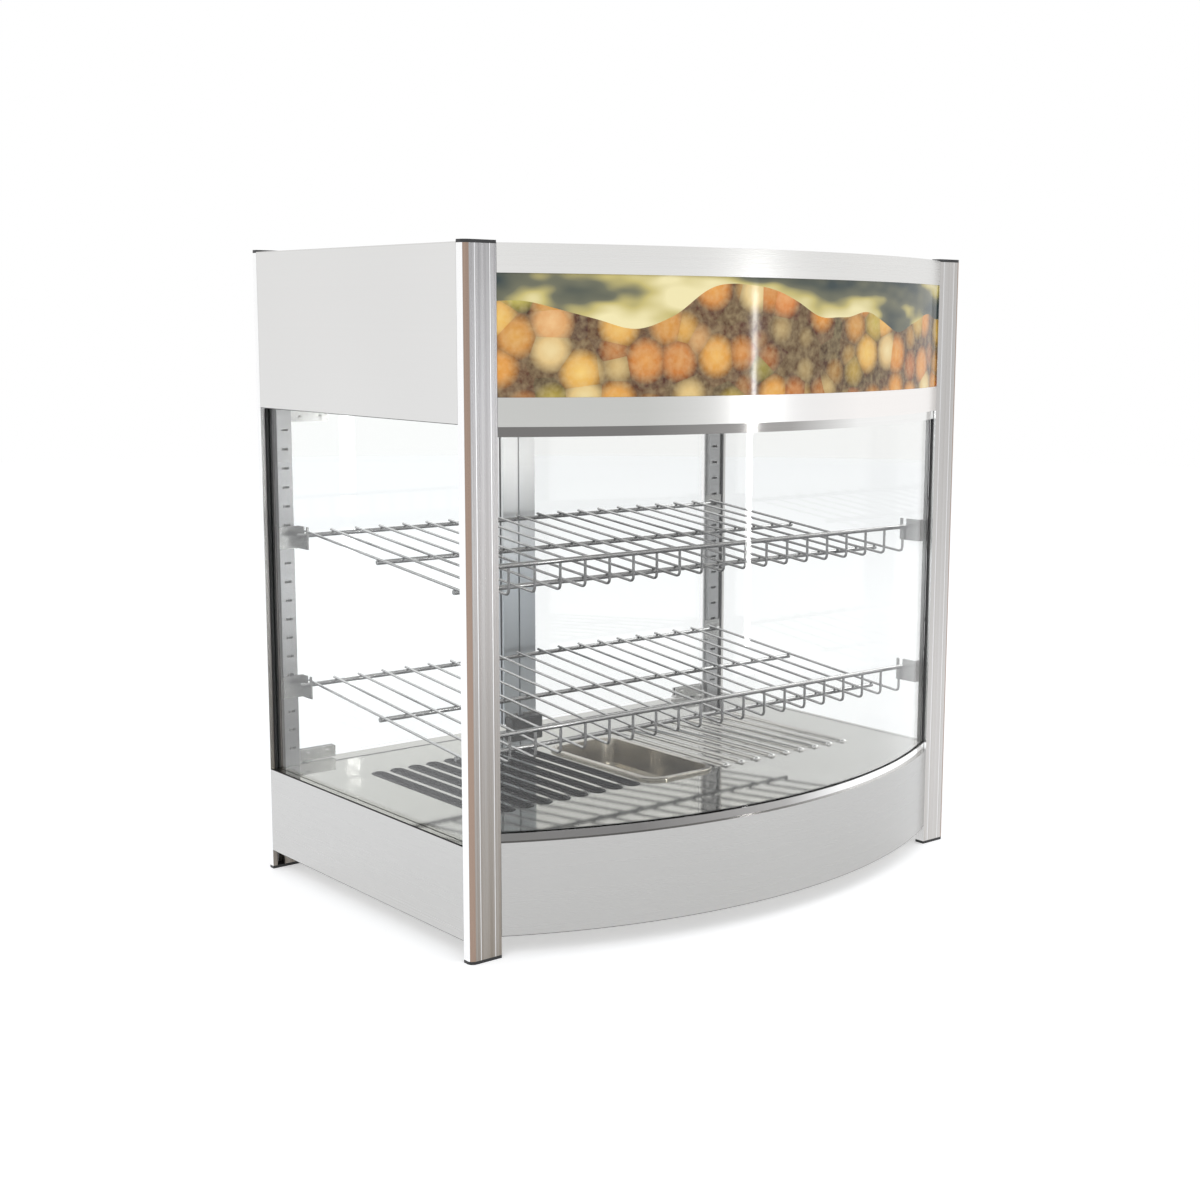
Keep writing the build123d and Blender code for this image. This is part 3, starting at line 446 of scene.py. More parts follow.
@dataclass(frozen=True)
class PostMetal:
    """Extruded corner post: satin metal with fine lengthwise lines, a painted reflection from foot to top, painted
    highlights on the side faces and groove lines, and a painted dark warm reflection on the rounded corners.
    """

    name: str
    top: Colour
    foot: Colour
    outer_x: float
    width: float
    # Painted reflection and highlight: a dark warm colour on the rounded corners and near white on the side faces.
    corner: Colour = (0.34, 0.25, 0.20)
    painted_highlight_flank: Colour = (0.97, 0.97, 0.97)
    # Painted highlight: the grooves are drawn as thin bright lines.
    grooves: Pair = (0.33, 0.80)
    groove_half: float = 0.010
    groove_highlight_colour: Colour = (0.80, 0.80, 0.81)
    height: float = 0.65
    bend_share: float = 0.6
    bend_stops: tuple[float, float, float] = (0.0, 0.45, 0.8)
    streak_scale: Point = (260.0, 260.0, 1.2)
    streak_share: float = 0.30
    streak_colour: Colour = (0.72, 0.72, 0.73)
    corner_stops: tuple[float, float, float, float] = (0.05, 0.08, 0.42, 0.46)
    flank_from: float = 0.44
    rough_range: Pair = (0.24, 0.36)
    relief: float = 0.08

    def material(self) -> Material:
        """Builds the material.

        Returns:
            The material.
        """
        graph = Graph(self.name)
        # Painted reflection: the colour ramps from the foot colour to the top colour along Z.
        rise = graph.calc("DIVIDE", graph.axis("Z"), self.height)
        tone = graph.ramp(rise, tuple(zip(self.bend_stops, (self.foot, self.blend(self.bend_share), self.top))))
        across = graph.calc("SUBTRACT", self.outer_x, graph.calc("ABSOLUTE", graph.axis("X")))
        share = graph.calc("DIVIDE", across, self.width)
        lines = graph.noise(Grain.UPRIGHT.value)
        wide = graph.spread(graph.noise(self.streak_scale), 0.0, self.streak_share)
        colour = graph.mix(wide, tone, self.streak_colour)
        # Painted highlight along the two grooves.
        for groove in self.grooves:
            near = graph.calc("COMPARE", share, groove, self.groove_half)
            colour = graph.mix(near, colour, self.groove_highlight_colour)
        # Painted reflection on the rounded corners and painted highlight on the side faces, picked by which way the
        # surface faces.
        sideways = graph.calc("ABSOLUTE", graph.calc("SUBTRACT", graph.facing("X"), 0.5))
        corner = graph.ramp(sideways, tuple(zip(self.corner_stops, (BLACK, WHITE, WHITE, BLACK))))
        colour = graph.mix(corner, colour, self.corner)
        colour = graph.mix(graph.calc("GREATER_THAN", sideways, self.flank_from), colour, self.painted_highlight_flank)
        shader = graph.surface(
            Base_Color=colour,
            Metallic=1.0,
            Roughness=graph.spread(lines, *self.rough_range),
            Normal=graph.bump(lines, self.relief),
        )
        return graph.finish(shader.outputs["BSDF"])

    def blend(self, share: float) -> Colour:
        """Colour part of the way up.

        Args:
            share: 0 at the foot and 1 at the top.

        Returns:
            The colour.
        """
        return tuple(a + (b - a) * share for a, b in zip(self.foot, self.top))


@dataclass(frozen=True)
class Plastic:
    """Moulded plastic or rubber with a fine grain."""

    name: str
    colour: Colour
    roughness: float = 0.45
    grain: float = 1800.0
    relief: float = 0.15
    coat: float = 0.0
    specular: float = 0.5
    cloud_scale: float = 25.0
    worn_gain: float = 1.25
    worn_lift: float = 0.004
    rough_range: Pair = (0.85, 1.2)

    def material(self) -> Material:
        """Builds the material.

        Returns:
            The material.
        """
        graph = Graph(self.name)
        pebble = graph.noise((self.grain,) * 3, 2.0)
        clouds = graph.noise((self.cloud_scale,) * 3, 2.0)
        worn = tuple(min(c * self.worn_gain + self.worn_lift, 1.0) for c in self.colour)
        low, high = self.rough_range
        shader = graph.surface(
            Base_Color=graph.mix(graph.spread(clouds, 0.0, 1.0), self.colour, worn),
            Roughness=graph.spread(pebble, self.roughness * low, self.roughness * high),
            Normal=graph.bump(pebble, self.relief),
            Coat_Weight=self.coat,
            Specular_IOR_Level=self.specular,
        )
        return graph.finish(shader.outputs["BSDF"])


@dataclass(frozen=True)
class Pane:
    """Clear glass that lets the lamps through, so that what is behind it isn't dark."""

    name: str
    colour: Colour = (0.985, 0.995, 0.99)
    clear: Colour = (0.97, 0.985, 0.975)
    index: float = 1.46
    smear_scale: Point = (9.0, 9.0, 5.0)
    smear: float = 0.02
    smear_height: float = 0.2 * MM

    def material(self) -> Material:
        """Builds the material.

        Returns:
            The material.
        """
        graph = Graph(self.name)
        shader = graph.surface(
            Base_Color=self.colour,
            Roughness=0.0,
            Transmission_Weight=1.0,
            IOR=self.index,
            Normal=graph.bump(graph.noise(self.smear_scale, 2.0), self.smear, self.smear_height),
        )
        clear = graph.node("ShaderNodeBsdfTransparent")
        clear.inputs["Color"].default_value = (*self.clear, 1.0)
        path = graph.node("ShaderNodeLightPath")
        either = graph.calc("MAXIMUM", path.outputs["Is Shadow Ray"], path.outputs["Is Diffuse Ray"])
        blend = graph.node("ShaderNodeMixShader")
        graph.join(either, blend.inputs["Fac"])
        graph.join(shader.outputs["BSDF"], blend.inputs[1])
        graph.join(clear.outputs["BSDF"], blend.inputs[2])
        return graph.finish(blend.outputs["Shader"])


@dataclass(frozen=True)
class Print:
    """Printed header film: a generic design of warm rounded shapes under a waved, clouded ground."""

    name: str
    cells: float = 30.0
    irregular: float = 0.8
    shape_stops: tuple[Stop, ...] = (
        (0.0, (0.62, 0.20, 0.04)),
        (0.2, (0.95, 0.42, 0.06)),
        (0.42, (1.0, 0.66, 0.16)),
        (0.6, (1.0, 0.88, 0.48)),
        (0.78, (0.90, 0.30, 0.05)),
        (1.0, (0.55, 0.60, 0.12)),
    )
    edge_stops: tuple[Stop, ...] = ((0.0, WHITE), (0.38, (0.80, 0.66, 0.5)), (0.66, (0.10, 0.05, 0.02)))
    ground_stops: tuple[Stop, ...] = (
        (0.34, (0.03, 0.05, 0.05)),
        (0.47, (0.16, 0.16, 0.10)),
        (0.55, (0.62, 0.52, 0.18)),
        (0.66, (0.95, 0.84, 0.46)),
    )
    crust_scale: float = 160.0
    crust_share: float = 0.22
    crust_colour: Colour = (0.98, 0.80, 0.42)
    band_scale: Point = (11.0, 11.0, 26.0)
    wave_scale: Point = (7.0, 7.0, 1.0)
    wave_depth: float = 0.13
    wave_level: float = 0.665
    rough_range: Pair = (0.05, 0.10)

    def material(self) -> Material:
        """Builds the material.

        Returns:
            The material.
        """
        graph = Graph(self.name)
        cells = graph.node("ShaderNodeTexVoronoi", feature="F1", voronoi_dimensions="3D")
        cells.inputs["Scale"].default_value = self.cells
        cells.inputs["Randomness"].default_value = self.irregular
        graph.join(graph.place, cells.inputs["Vector"])
        pick = graph.node("ShaderNodeSeparateColor")
        graph.join(cells.outputs["Color"], pick.inputs["Color"])
        body = graph.ramp(pick.outputs["Red"], self.shape_stops)
        edge = graph.ramp(cells.outputs["Distance"], self.edge_stops)
        shapes = graph.mix(1.0, body, edge, "MULTIPLY")
        crust = graph.noise((self.crust_scale,) * 3)
        shapes = graph.mix(graph.spread(crust, 0.0, self.crust_share), shapes, self.crust_colour)
        bands = graph.noise(self.band_scale, 2.0)
        ground = graph.ramp(bands, self.ground_stops)
        wave = graph.calc("MULTIPLY", graph.noise(self.wave_scale, 1.0), -self.wave_depth)
        above = graph.calc("GREATER_THAN", graph.axis("Z"), graph.calc("ADD", wave, self.wave_level))
        shader = graph.surface(
            Base_Color=graph.mix(above, shapes, ground), Roughness=graph.spread(bands, *self.rough_range)
        )
        return graph.finish(shader.outputs["BSDF"])


@dataclass(frozen=True)
class Palette:
    """All finishes of the case."""

    # The steel sheets are one steel in painted light and shade: the header, bands and top panel painted lighter,
    # the base sides darker and the base front darkest.
    header: Metal = Metal("steel_header", (0.77, 0.765, 0.755), roughness=0.30, brushing=0.015, clouding=0.03)
    upper: Metal = Metal(
        "steel_band_upper", (0.74, 0.735, 0.72), roughness=0.28, brushing=0.015, clouding=0.03
    )
    # The lower band's dark-to-light change across X is a painted reflection.
    lower: Metal = Metal(
        "steel_band_lower", (0.80, 0.79, 0.78), roughness=0.24, brushing=0.015, clouding=0.02,
        across=((0.56, 0.56, 0.54), (0.93, 0.90, 0.88))
    )
    base_front: Metal = Metal(
        "steel_base_front_painted_shade", (0.48, 0.475, 0.465), roughness=0.26, brushing=0.008, clouding=0.02
    )
    base_side: Metal = Metal(
        "steel_base_side_painted_shade", (0.60, 0.595, 0.585), roughness=0.26, brushing=0.008, clouding=0.02
    )
    top: Metal = Metal(
        "steel_level", (0.72, 0.715, 0.70), roughness=0.30, grain=Grain.ACROSS, brushing=0.02, clouding=0.03
    )
    hidden: Metal = Metal("steel_inner", (0.48, 0.475, 0.46), roughness=0.38)
    # The floor plate's colour change across X is a painted reflection.
    floor: Metal = Metal(
        "steel_mirror", (0.54, 0.535, 0.49), roughness=0.05, grain=Grain.ACROSS, brushing=0.01,
        clouding=0.12, relief=0.005, across=((0.46, 0.455, 0.415), (0.50, 0.50, 0.48))
    )
    # Painted light: the heat reflector is pale and bright so that it looks lit through the right slots.
    glow: Metal = Metal("steel_reflector_painted_light", (0.90, 0.88, 0.82), roughness=0.25, brushing=0.02, clouding=0.05)
    # The glass channels' dark-to-light change across X is a painted reflection.
    trim: Metal = Metal(
        "steel_trim", (0.42, 0.41, 0.40), roughness=0.10, brushing=0.03, clouding=0.10,
        across=((0.20, 0.195, 0.19), (0.97, 0.97, 0.96))
    )
    pan: Metal = Metal(
        "steel_pan", (0.50, 0.47, 0.41), roughness=0.16, grain=Grain.NONE, brushing=0.05, clouding=0.20,
        relief=0.02
    )
    # The wire's dark underside is painted shade.
    wire: Metal = Metal(
        "chrome_wire", (0.72, 0.72, 0.72), roughness=0.08, grain=Grain.NONE, brushing=0.05, clouding=0.08,
        painted_underside_shade=(0.010, 0.010, 0.012), relief=0.02
    )
    # The left slot lips are near-black painted shade and the right slot lips bright painted light: one formed lip
    # in shaded and lit copies.
    lip_painted_shade: Plastic = Plastic(
        "slot_lip_shaded", (0.003, 0.003, 0.003), roughness=0.35, grain=900.0, relief=0.02, specular=0.04
    )
    lip_painted_light: Metal = Metal(
        "slot_lip_painted_light", (0.66, 0.65, 0.62), roughness=0.10, grain=Grain.NONE, relief=0.02
    )
    # Painted glint: near-white metal on the slot noses, with painted shade on their undersides.
    glint: Metal = Metal(
        "slot_nose_painted_glint", (0.95, 0.95, 0.95), roughness=0.06, grain=Grain.NONE, brushing=0.02, clouding=0.02,
        painted_underside_shade=(0.10, 0.10, 0.10), relief=0.01
    )
    strip: Metal = Metal(
        "zinc_strip", (0.36, 0.36, 0.365), roughness=0.30, grain=Grain.UPRIGHT, brushing=0.10, clouding=0.15
    )
    clip: Metal = Metal("zinc_clip", (0.34, 0.34, 0.33), roughness=0.22, brushing=0.06, clouding=0.10)
    hinge: Metal = Metal("chrome_hinge", (0.46, 0.46, 0.45), roughness=0.14, brushing=0.04, clouding=0.10)
    screw: Metal = Metal("zinc_screw", (0.70, 0.70, 0.68), roughness=0.18, grain=Grain.NONE)
    # The stile's darker bluish foot is a painted reflection.
    stile: Metal = Metal(
        "anodised_stile", (0.95, 0.95, 0.95), roughness=0.30, grain=Grain.UPRIGHT, brushing=0.06,
        clouding=0.08, painted_reflection_foot=(0.40, 0.43, 0.46), foot_height=0.50
    )
    heater: Metal = Metal(
        "heater_sheath", (0.10, 0.09, 0.085), roughness=0.45, grain=Grain.NONE, brushing=0.10, clouding=0.25
    )
    black: Plastic = Plastic("black_cap", (0.012, 0.012, 0.013), roughness=0.38)
    seal: Plastic = Plastic("black_seal", (0.016, 0.017, 0.017), roughness=0.55, grain=900.0)
    nylon: Plastic = Plastic("nylon", (0.62, 0.62, 0.60), roughness=0.42)
    opal: Plastic = Plastic(
        "opal_glass", (0.84, 0.83, 0.79), roughness=0.12, grain=600.0, relief=0.02, coat=0.4
    )
    control: Plastic = Plastic("control_body", (0.06, 0.055, 0.05), roughness=0.5)
    knob: Plastic = Plastic(
        "knob_black", (0.018, 0.018, 0.019), roughness=0.34, grain=1400.0, relief=0.12, coat=0.15
    )
    green: Plastic = Plastic(
        "button_green", (0.02, 0.22, 0.06), roughness=0.22, grain=900.0, relief=0.05, coat=0.4
    )
    red: Plastic = Plastic(
        "button_red", (0.42, 0.02, 0.015), roughness=0.22, grain=900.0, relief=0.05, coat=0.4
    )
    amber: Plastic = Plastic(
        "lens_amber", (0.75, 0.26, 0.03), roughness=0.10, grain=300.0, relief=0.05, coat=0.6
    )
    ink: Plastic = Plastic("white_ink", (0.80, 0.80, 0.78), roughness=0.40)
    pane: Pane = Pane("clear_glass")
    grey_pane: Pane = Pane("front_glass", (0.915, 0.915, 0.905))
    film: Print = Print("header_print")


@dataclass
class Dresser:
    """Puts finishes on the CAD nodes that stay as they are."""

    palette: Palette
    # Painted shade and light: the left posts are painted darker, warm brown at the foot, and the right posts paler,
    # as shaded and lit copies of one extrusion.
    painted_shade_left_top: Colour = (0.30, 0.295, 0.30)
    painted_shade_left_foot: Colour = (0.235, 0.20, 0.16)
    painted_light_right_top: Colour = (0.46, 0.445, 0.43)
    painted_light_right_foot: Colour = (0.52, 0.50, 0.48)

    def groups(self) -> list[tuple[Finish, list[str]]]:
        """Which finish each CAD node takes.

        Returns:
            Pairs of a finish and the names of its nodes.
        """
        look = self.palette
        low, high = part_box("post_front_right")
        outer, width = high[0], high[0] - low[0]
        # Left posts in painted shade, right posts in painted light.
        left = PostMetal("post_left_painted_shade", self.painted_shade_left_top, self.painted_shade_left_foot, outer, width)
        right = PostMetal("post_right_painted_light", self.painted_light_right_top, self.painted_light_right_foot, outer, width)
        return [
            (look.header, ["header_side_left", "header_side_right", "header_rear_panel"]),
            (look.upper, ["header_upper_band"]),
            (look.lower, ["header_lower_band"]),
            (look.top, ["header_top_panel"]),
            (look.base_front, ["base_front_panel"]),
            (look.base_side, ["base_side_left", "base_side_right", "base_rear_panel"]),
            (look.hidden, ["base_plate", "ceiling_plate", "heater_brackets"]),
            (left, ["post_front_left", "post_rear_left"]),
            (right, ["post_front_right", "post_rear_right"]),
            (look.black, ["post_foot_caps", "post_top_caps", "magnetic_catch", "switch_bezels", "cord_gland"]),
            (look.black, ["terminal_block"]),
            (look.strip, ["shelf_strip_front_left", "shelf_strip_front_right"]),
            (look.strip, ["shelf_strip_rear_left", "shelf_strip_rear_right"]),
            (look.clip, ["shelf_clips"]),
            (look.floor, ["floor_plate"]),
            (look.glow, ["heat_reflector"]),
            (look.trim, ["upper_glass_channel", "lower_glass_channel"]),
            (look.pan, ["water_pan"]),
            (look.pane, ["side_glass_left", "side_glass_right"]),
            (look.grey_pane, ["front_glass"]),
            (look.pane, ["left_door_glass", "right_door_glass"]),
            (look.seal, ["front_glass_seals", "side_gaskets"]),
            (look.film, ["picture_panel"]),
            (look.opal, ["lamp_tube", "lamp_diffuser"]),
            (look.nylon, ["lamp_holders", "hinge_bushes"]),
            (look.heater, ["heaters"]),
            (look.stile, ["left_door_stile", "right_door_stile"]),
            (look.hinge, ["left_door_hinges", "right_door_hinges"]),
            (look.screw, ["left_door_strike", "right_door_strike", "panel_screws"]),
            (look.control, ["thermostat"]),
            (look.knob, ["thermostat_knob"]),
            (look.green, ["power_rocker"]),
            (look.red, ["lamp_rocker"]),
            (look.amber, ["pilot_lamp"]),
        ]

    def dress(self) -> None:
        """Gives every CAD node its material."""
        made: dict[str, Material] = {}
        for finish, names in self.groups():
            if finish.name not in made:
                made[finish.name] = finish.material()
            for name in names:
                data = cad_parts[name].data
                data.materials.clear()
                data.materials.append(made[finish.name])
                LOG.info("finish %s on node %s", finish.name, name)


def place(piece: bpy.types.Object, body: str, finish: Finish) -> bpy.types.Object:
    """Gives a new piece its material and body.

    Args:
        piece: The new object.
        body: The body that it rides on.
        finish: The finish.

    Returns:
        The piece.
    """
    material = bpy.data.materials.get(finish.name) or finish.material()
    piece.data.materials.append(material)
    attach(piece, body)
    LOG.info("piece %s rides on %s", piece.name, body)
    return piece


def wire_object(name: str, runs: list[tuple[float, list[Point]]], radius: float) -> bpy.types.Object:
    """Makes round wires from runs of points.

    Args:
        name: Name of the object.
        runs: Radius and points of each wire.
        radius: Radius that the others are measured against.

    Returns:
        The curve object.
    """
    curve = bpy.data.curves.new(name, "CURVE")
    curve.dimensions = "3D"
    curve.bevel_depth = radius
    curve.bevel_resolution = WIRE_ROUNDNESS
    curve.use_fill_caps = True
    for own, points in runs:
        spline = curve.splines.new("POLY")
        spline.points.add(len(points) - 1)
        for target, point in zip(spline.points, points):
            target.co = (*point, 1.0)
            target.radius = own / radius
    made = bpy.data.objects.new(name, curve)
    bpy.context.scene.collection.objects.link(made)
    return made


def mesh_object(name: str, mesh: bmesh.types.BMesh) -> bpy.types.Object:
    """Turns a bmesh into an object.

    Args:
        name: Name of the object.
        mesh: The mesh, which is freed.

    Returns:
        The object.
    """
    data = bpy.data.meshes.new(name)
    bmesh.ops.recalc_face_normals(mesh, faces=mesh.faces)
    mesh.to_mesh(data)
    mesh.free()
    made = bpy.data.objects.new(name, data)
    bpy.context.scene.collection.objects.link(made)
    return made


def rounded(points: list[Point], radius: float, steps: int = 6) -> list[Point]:
    """Rounds the inner corners of a run of points.

    Args:
        points: The corners.
        radius: How far before and after a corner the bend starts.
        steps: Points on each bend.

    Returns:
        The run with bends.
    """
    run = [Vector(points[0])]
    for before, corner, after in zip(points, points[1:], points[2:]):
        middle = Vector(corner)
        start = middle + (Vector(before) - middle).normalized() * radius
        end = middle + (Vector(after) - middle).normalized() * radius
        for step in range(steps + 1):
            t = step / steps
            run.append(start * (1 - t) ** 2 + middle * 2 * t * (1 - t) + end * t**2)
    run.append(Vector(points[-1]))
    return [tuple(p) for p in run]


@dataclass
class WireShelf:
    """One welded wire shelf with its turned-up front fence."""

    node: str
    palette: Palette
    bar_radius: float = 2.5 * MM
    wire_radius: float = 1.4 * MM
    wires: int = 20
    bar_overhang: float = 13 * MM
    fence: float = 28 * MM
    rear_overhang: float = 5 * MM
    rear_share: float = 0.85
    weld: float = 0.3 * MM
    front_bar: float = 42 * MM
    middle_bar: float = 179 * MM
    bend: float = 6 * MM

    def build(self) -> bpy.types.Object:
        """Makes the shelf in the place of its CAD node.

        Returns:
            The shelf.
        """
        low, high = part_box(self.node)
        reach = high[0] - self.bar_overhang
        front = low[1] + self.bar_radius
        rear = high[1] - self.rear_overhang
        seat = low[2] + self.wire_radius + self.fence
        bottom = seat - self.fence
        rise = self.bar_radius + self.wire_radius - self.weld
        slope = (seat + rise - bottom) / (rear - front)
        end = rear + self.rear_overhang * self.rear_share
        runs = []
        for number in range(self.wires):
            x = -reach + 2 * reach * number / (self.wires - 1)
            corners = [(x, end, bottom + slope * (end - front)), (x, front, bottom), (x, front, seat)]
            runs.append((self.wire_radius, rounded(corners, self.bend)))
        bars = [
            (rear, seat, self.bar_overhang),
            (front, seat, self.bar_overhang),
            (front + self.middle_bar, bottom + slope * self.middle_bar - rise, self.wire_radius),
            (front + self.front_bar, bottom + slope * self.front_bar - rise, self.wire_radius),
        ]
        for y, z, overhang in bars:
            runs.append((self.bar_radius, [(-reach - overhang, y, z), (reach + overhang, y, z)]))
        shelf = wire_object(self.node + "_wires", runs, self.wire_radius)
        place(shelf, self.node, self.palette.wire)
        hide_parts(self.node)
        return shelf


@dataclass
class SlotLips:
    """Rolled lips around the air slots of the floor plate, the left ones in painted shade and the right ones in
    painted light, and the noses of the right ones as a painted glint.
    """

    palette: Palette
    nearest: float = 64 * MM
    spacing: float = 22.5 * MM
    count: int = 9
    width: float = 11 * MM
    length: float = 210 * MM
    middle_y: float = 22.5 * MM
    crown: float = 0.9 * MM
    nose: float = 4.4 * MM
    nose_shape: Point = (1.0, 0.8, 0.7)
    nose_inset: float = 0.4
    nose_segments: int = 16
    steps: int = 12
    plate_rise: float = 1 * MM
    roll: Profile = ((3.0 * MM, 0.05), (2.1 * MM, 0.7), (1.2 * MM, 1.0), (0.0, 0.6), (-0.02 * MM, -4.0))

    @property
    def top(self) -> float:
        """Gives the height of the floor plate's top face.

        Returns:
            The height.
        """
        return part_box("lower_glass_channel")[0][2] + self.plate_rise

    def ring(self, x: float, grow: float, z: float) -> list[Point]:
        """Points round one slot.

        Args:
            x: Middle of the slot.
            grow: How far outside the opening.
            z: Height.

        Returns:
            The closed outline.
        """
        half = self.width / 2 + grow
        straight = (self.length - self.width) / 2
        points = []
        for side in (1, -1):
            for step in range(self.steps + 1):
                angle = math.pi * step / self.steps
                across = half * math.cos(angle) * side
                along = half * math.sin(angle) * side
                points.append((x + across, self.middle_y + side * straight + along, z))
        return points

    def lips(self, name: str, side: int, finish: Finish) -> None:
        """Makes the lips of one half of the floor.

        Args:
            name: Name of the piece.
            side: -1 for the left half and 1 for the right one.
            finish: The finish.
        """
        mesh = bmesh.new()
        for number in range(self.count):
            x = side * (self.nearest + self.spacing * number)
            rings = []
            for grow, rise in self.roll:
                outline = self.ring(x, grow, self.top + rise * self.crown)
                rings.append([mesh.verts.new(point) for point in outline])
            for lower, upper in zip(rings, rings[1:]):
                for step in range(len(lower)):
                    after = (step + 1) % len(lower)
                    mesh.faces.new((lower[step], lower[after], upper[after], upper[step]))
        for face in mesh.faces:
            face.smooth = True
        place(mesh_object(name, mesh), "cabinet", finish)

    def noses(self) -> None:
        """Makes the round noses at the front ends of the right slots, as a painted glint with painted shade
        beneath.
        """
        mesh = bmesh.new()
        front = self.middle_y - self.length / 2 + self.nose * self.nose_inset
        for number in range(self.count):
            x = self.nearest + self.spacing * number
            spot = Matrix.Translation((x, front, self.top)) @ Matrix.Diagonal((*self.nose_shape, 1.0))
            turns = self.nose_segments
            bmesh.ops.create_uvsphere(mesh, u_segments=turns, v_segments=turns // 2, radius=self.nose, matrix=spot)
        for face in mesh.faces:
            face.smooth = True
        place(mesh_object("slot_noses", mesh), "cabinet", self.palette.glint)

    def build(self) -> None:
        """Makes the lips of both halves and the noses."""
        # Left lips in painted shade, right lips in painted light.
        self.lips("slot_lips_left", -1, self.palette.lip_painted_shade)
        self.lips("slot_lips_right", 1, self.palette.lip_painted_light)
        self.noses()


@dataclass
class EdgeShadeLines:
    """Thin dark lines of painted shade along the folded edges of the side sheets and the bottom edge of the bowed
    base front.
    """

    palette: Palette
    radius: float = 0.45 * MM
    out: float = 0.15 * MM
    short: float = 1 * MM
    steps: int = 48

    def build(self) -> None:
        """Makes the lines of painted shade."""
        runs = []
        for side, face in (("left", 0), ("right", 1)):
            for name, level in (("header_side_", 0), ("base_side_", 1), ("base_side_", 0)):
                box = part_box(name + side)
                x = box[face][0] + (self.radius if face == 0 else -self.radius)
                z = box[level][2] + self.out * (2 * level - 1)
                runs.append((self.radius, [(x, box[0][1] + self.short, z), (x, box[1][1] - self.short, z)]))
        runs.append((self.radius, self.bow()))
        # These black lines stand in for the shade where the sheets meet and under the base front.
        place(wire_object("sheet_edge_shade_lines", runs, self.radius), "cabinet", self.palette.seal)

    def bow(self) -> list[Point]:
        """Points along the bottom edge of the bowed base front.

        Returns:
            The run from left to right.
        """
        low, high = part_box("base_front_panel")
        half = high[0]
        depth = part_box("post_front_left")[0][1] - low[1]
        bend = (half**2 + depth**2) / (2 * depth)
        points = []
        for step in range(self.steps + 1):
            x = half * (2 * step / self.steps - 1)
            y = low[1] + bend - math.sqrt(bend**2 - x**2) + self.radius
            points.append((x, y, low[2] - self.out))
        return points


@dataclass
class ScrewSet:
    """Low domed screw heads with a cross recess, as one piece."""

    name: str
    body: str
    slot: Slot
    centres: list[Point]
    axis: Point
    radius: float
    palette: Palette
    height: float = 1.2 * MM
    segments: int = 20
    profile: Profile = ((1.0, 0.0), (1.0, 0.35), (0.85, 0.75), (0.5, 0.95), (0.34, 1.0), (0.28, 0.55))
    recess_below: float = 0.3
    recess_waist: float = 0.55
    recess_every: int = 5

    def build(self) -> bpy.types.Object:
        """Makes the heads.

        Returns:
            The heads as one object.
        """
        mesh = bmesh.new()
        turn = Vector((0, 0, 1)).rotation_difference(Vector(self.axis)).to_matrix().to_4x4()
        for centre in self.centres:
            spot = Matrix.Translation(Vector(centre)) @ turn
            rings = []
            for share, rise in self.profile:
                ring = []
                for step in range(self.segments):
                    angle = 2 * math.pi * step / self.segments
                    waist = share < self.recess_below and step % self.recess_every
                    reach = self.radius * share * (self.recess_waist if waist else 1.0)
                    point = (reach * math.cos(angle), reach * math.sin(angle), self.height * rise)
                    ring.append(mesh.verts.new(spot @ Vector(point)))
                rings.append(ring)
            for lower, upper in zip(rings, rings[1:]):
                for step in range(self.segments):
                    after = (step + 1) % self.segments
                    mesh.faces.new((lower[step], lower[after], upper[after], upper[step]))
            mesh.faces.new(rings[-1])
            mesh.faces.new(list(reversed(rings[0])))
        return place(mesh_object(self.name, mesh), self.body, self.palette.screw)


@dataclass
class Marks:
    """Flat raised marks, such as dial ticks, as one piece."""

    name: str
    body: str
    palette: Palette
    thick: float = 0.25 * MM
    bevel_share: float = 0.3

    def bars(self, places: list[tuple[Matrix, float, float]]) -> bpy.types.Object:
        """Makes bevelled bars.

        Args:
            places: Matrix of each bar, its width and its length.

        Returns:
            The bars as one object.
        """
        mesh = bmesh.new()
        for matrix, width, length in places:
            size = Matrix.Diagonal((width, length, self.thick, 1.0))
            made = bmesh.ops.create_cube(mesh, size=1.0, matrix=matrix @ size)
            edges = list({e for v in made["verts"] for e in v.link_edges})
            bmesh.ops.bevel(
                mesh,
                geom=edges,
                offset=self.thick * self.bevel_share,
                segments=2,
                affect="EDGES",
                clamp_overlap=True,
            )
        return place(mesh_object(self.name, mesh), self.body, self.palette.ink)


@dataclass
class Controls:
    """Dial ticks and the knob's pointer at the rear."""

    palette: Palette
    ticks: int = 10
    sweep: float = 270.0
    tick_radius: float = 24.5 * MM
    tick_width: float = 0.7 * MM
    short_tick: float = 3.0 * MM
    long_tick: float = 4.5 * MM
    long_every: int = 3
    inset: float = 0.15 * MM
    pointer_out: float = 6 * MM
    pointer_width: float = 1.2 * MM
    pointer_length: float = 6.0 * MM

    def build(self) -> None:
        """Makes the marks."""
        low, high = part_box("thermostat_knob")
        x, z = (low[0] + high[0]) / 2, (low[2] + high[2]) / 2
        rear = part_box("base_rear_panel")[1][1]
        flat = Matrix.Rotation(math.radians(-90), 4, "X")
        places = []
        for tick in range(self.ticks):
            angle = math.radians(self.sweep * tick / (self.ticks - 1))
            spot = Matrix.Translation((x, rear, z)) @ Matrix.Rotation(angle, 4, "Y")
            spot = spot @ Matrix.Translation((0, 0, self.tick_radius)) @ flat
            places.append((spot, self.tick_width, self.short_tick if tick % self.long_every else self.long_tick))
        Marks("dial_ticks", "cabinet", self.palette).bars(places)
        pointer = Matrix.Translation((x, high[1] - self.inset, z + self.pointer_out)) @ flat
        places = [(pointer, self.pointer_width, self.pointer_length)]
        Marks("knob_pointer", "thermostat_knob", self.palette).bars(places)


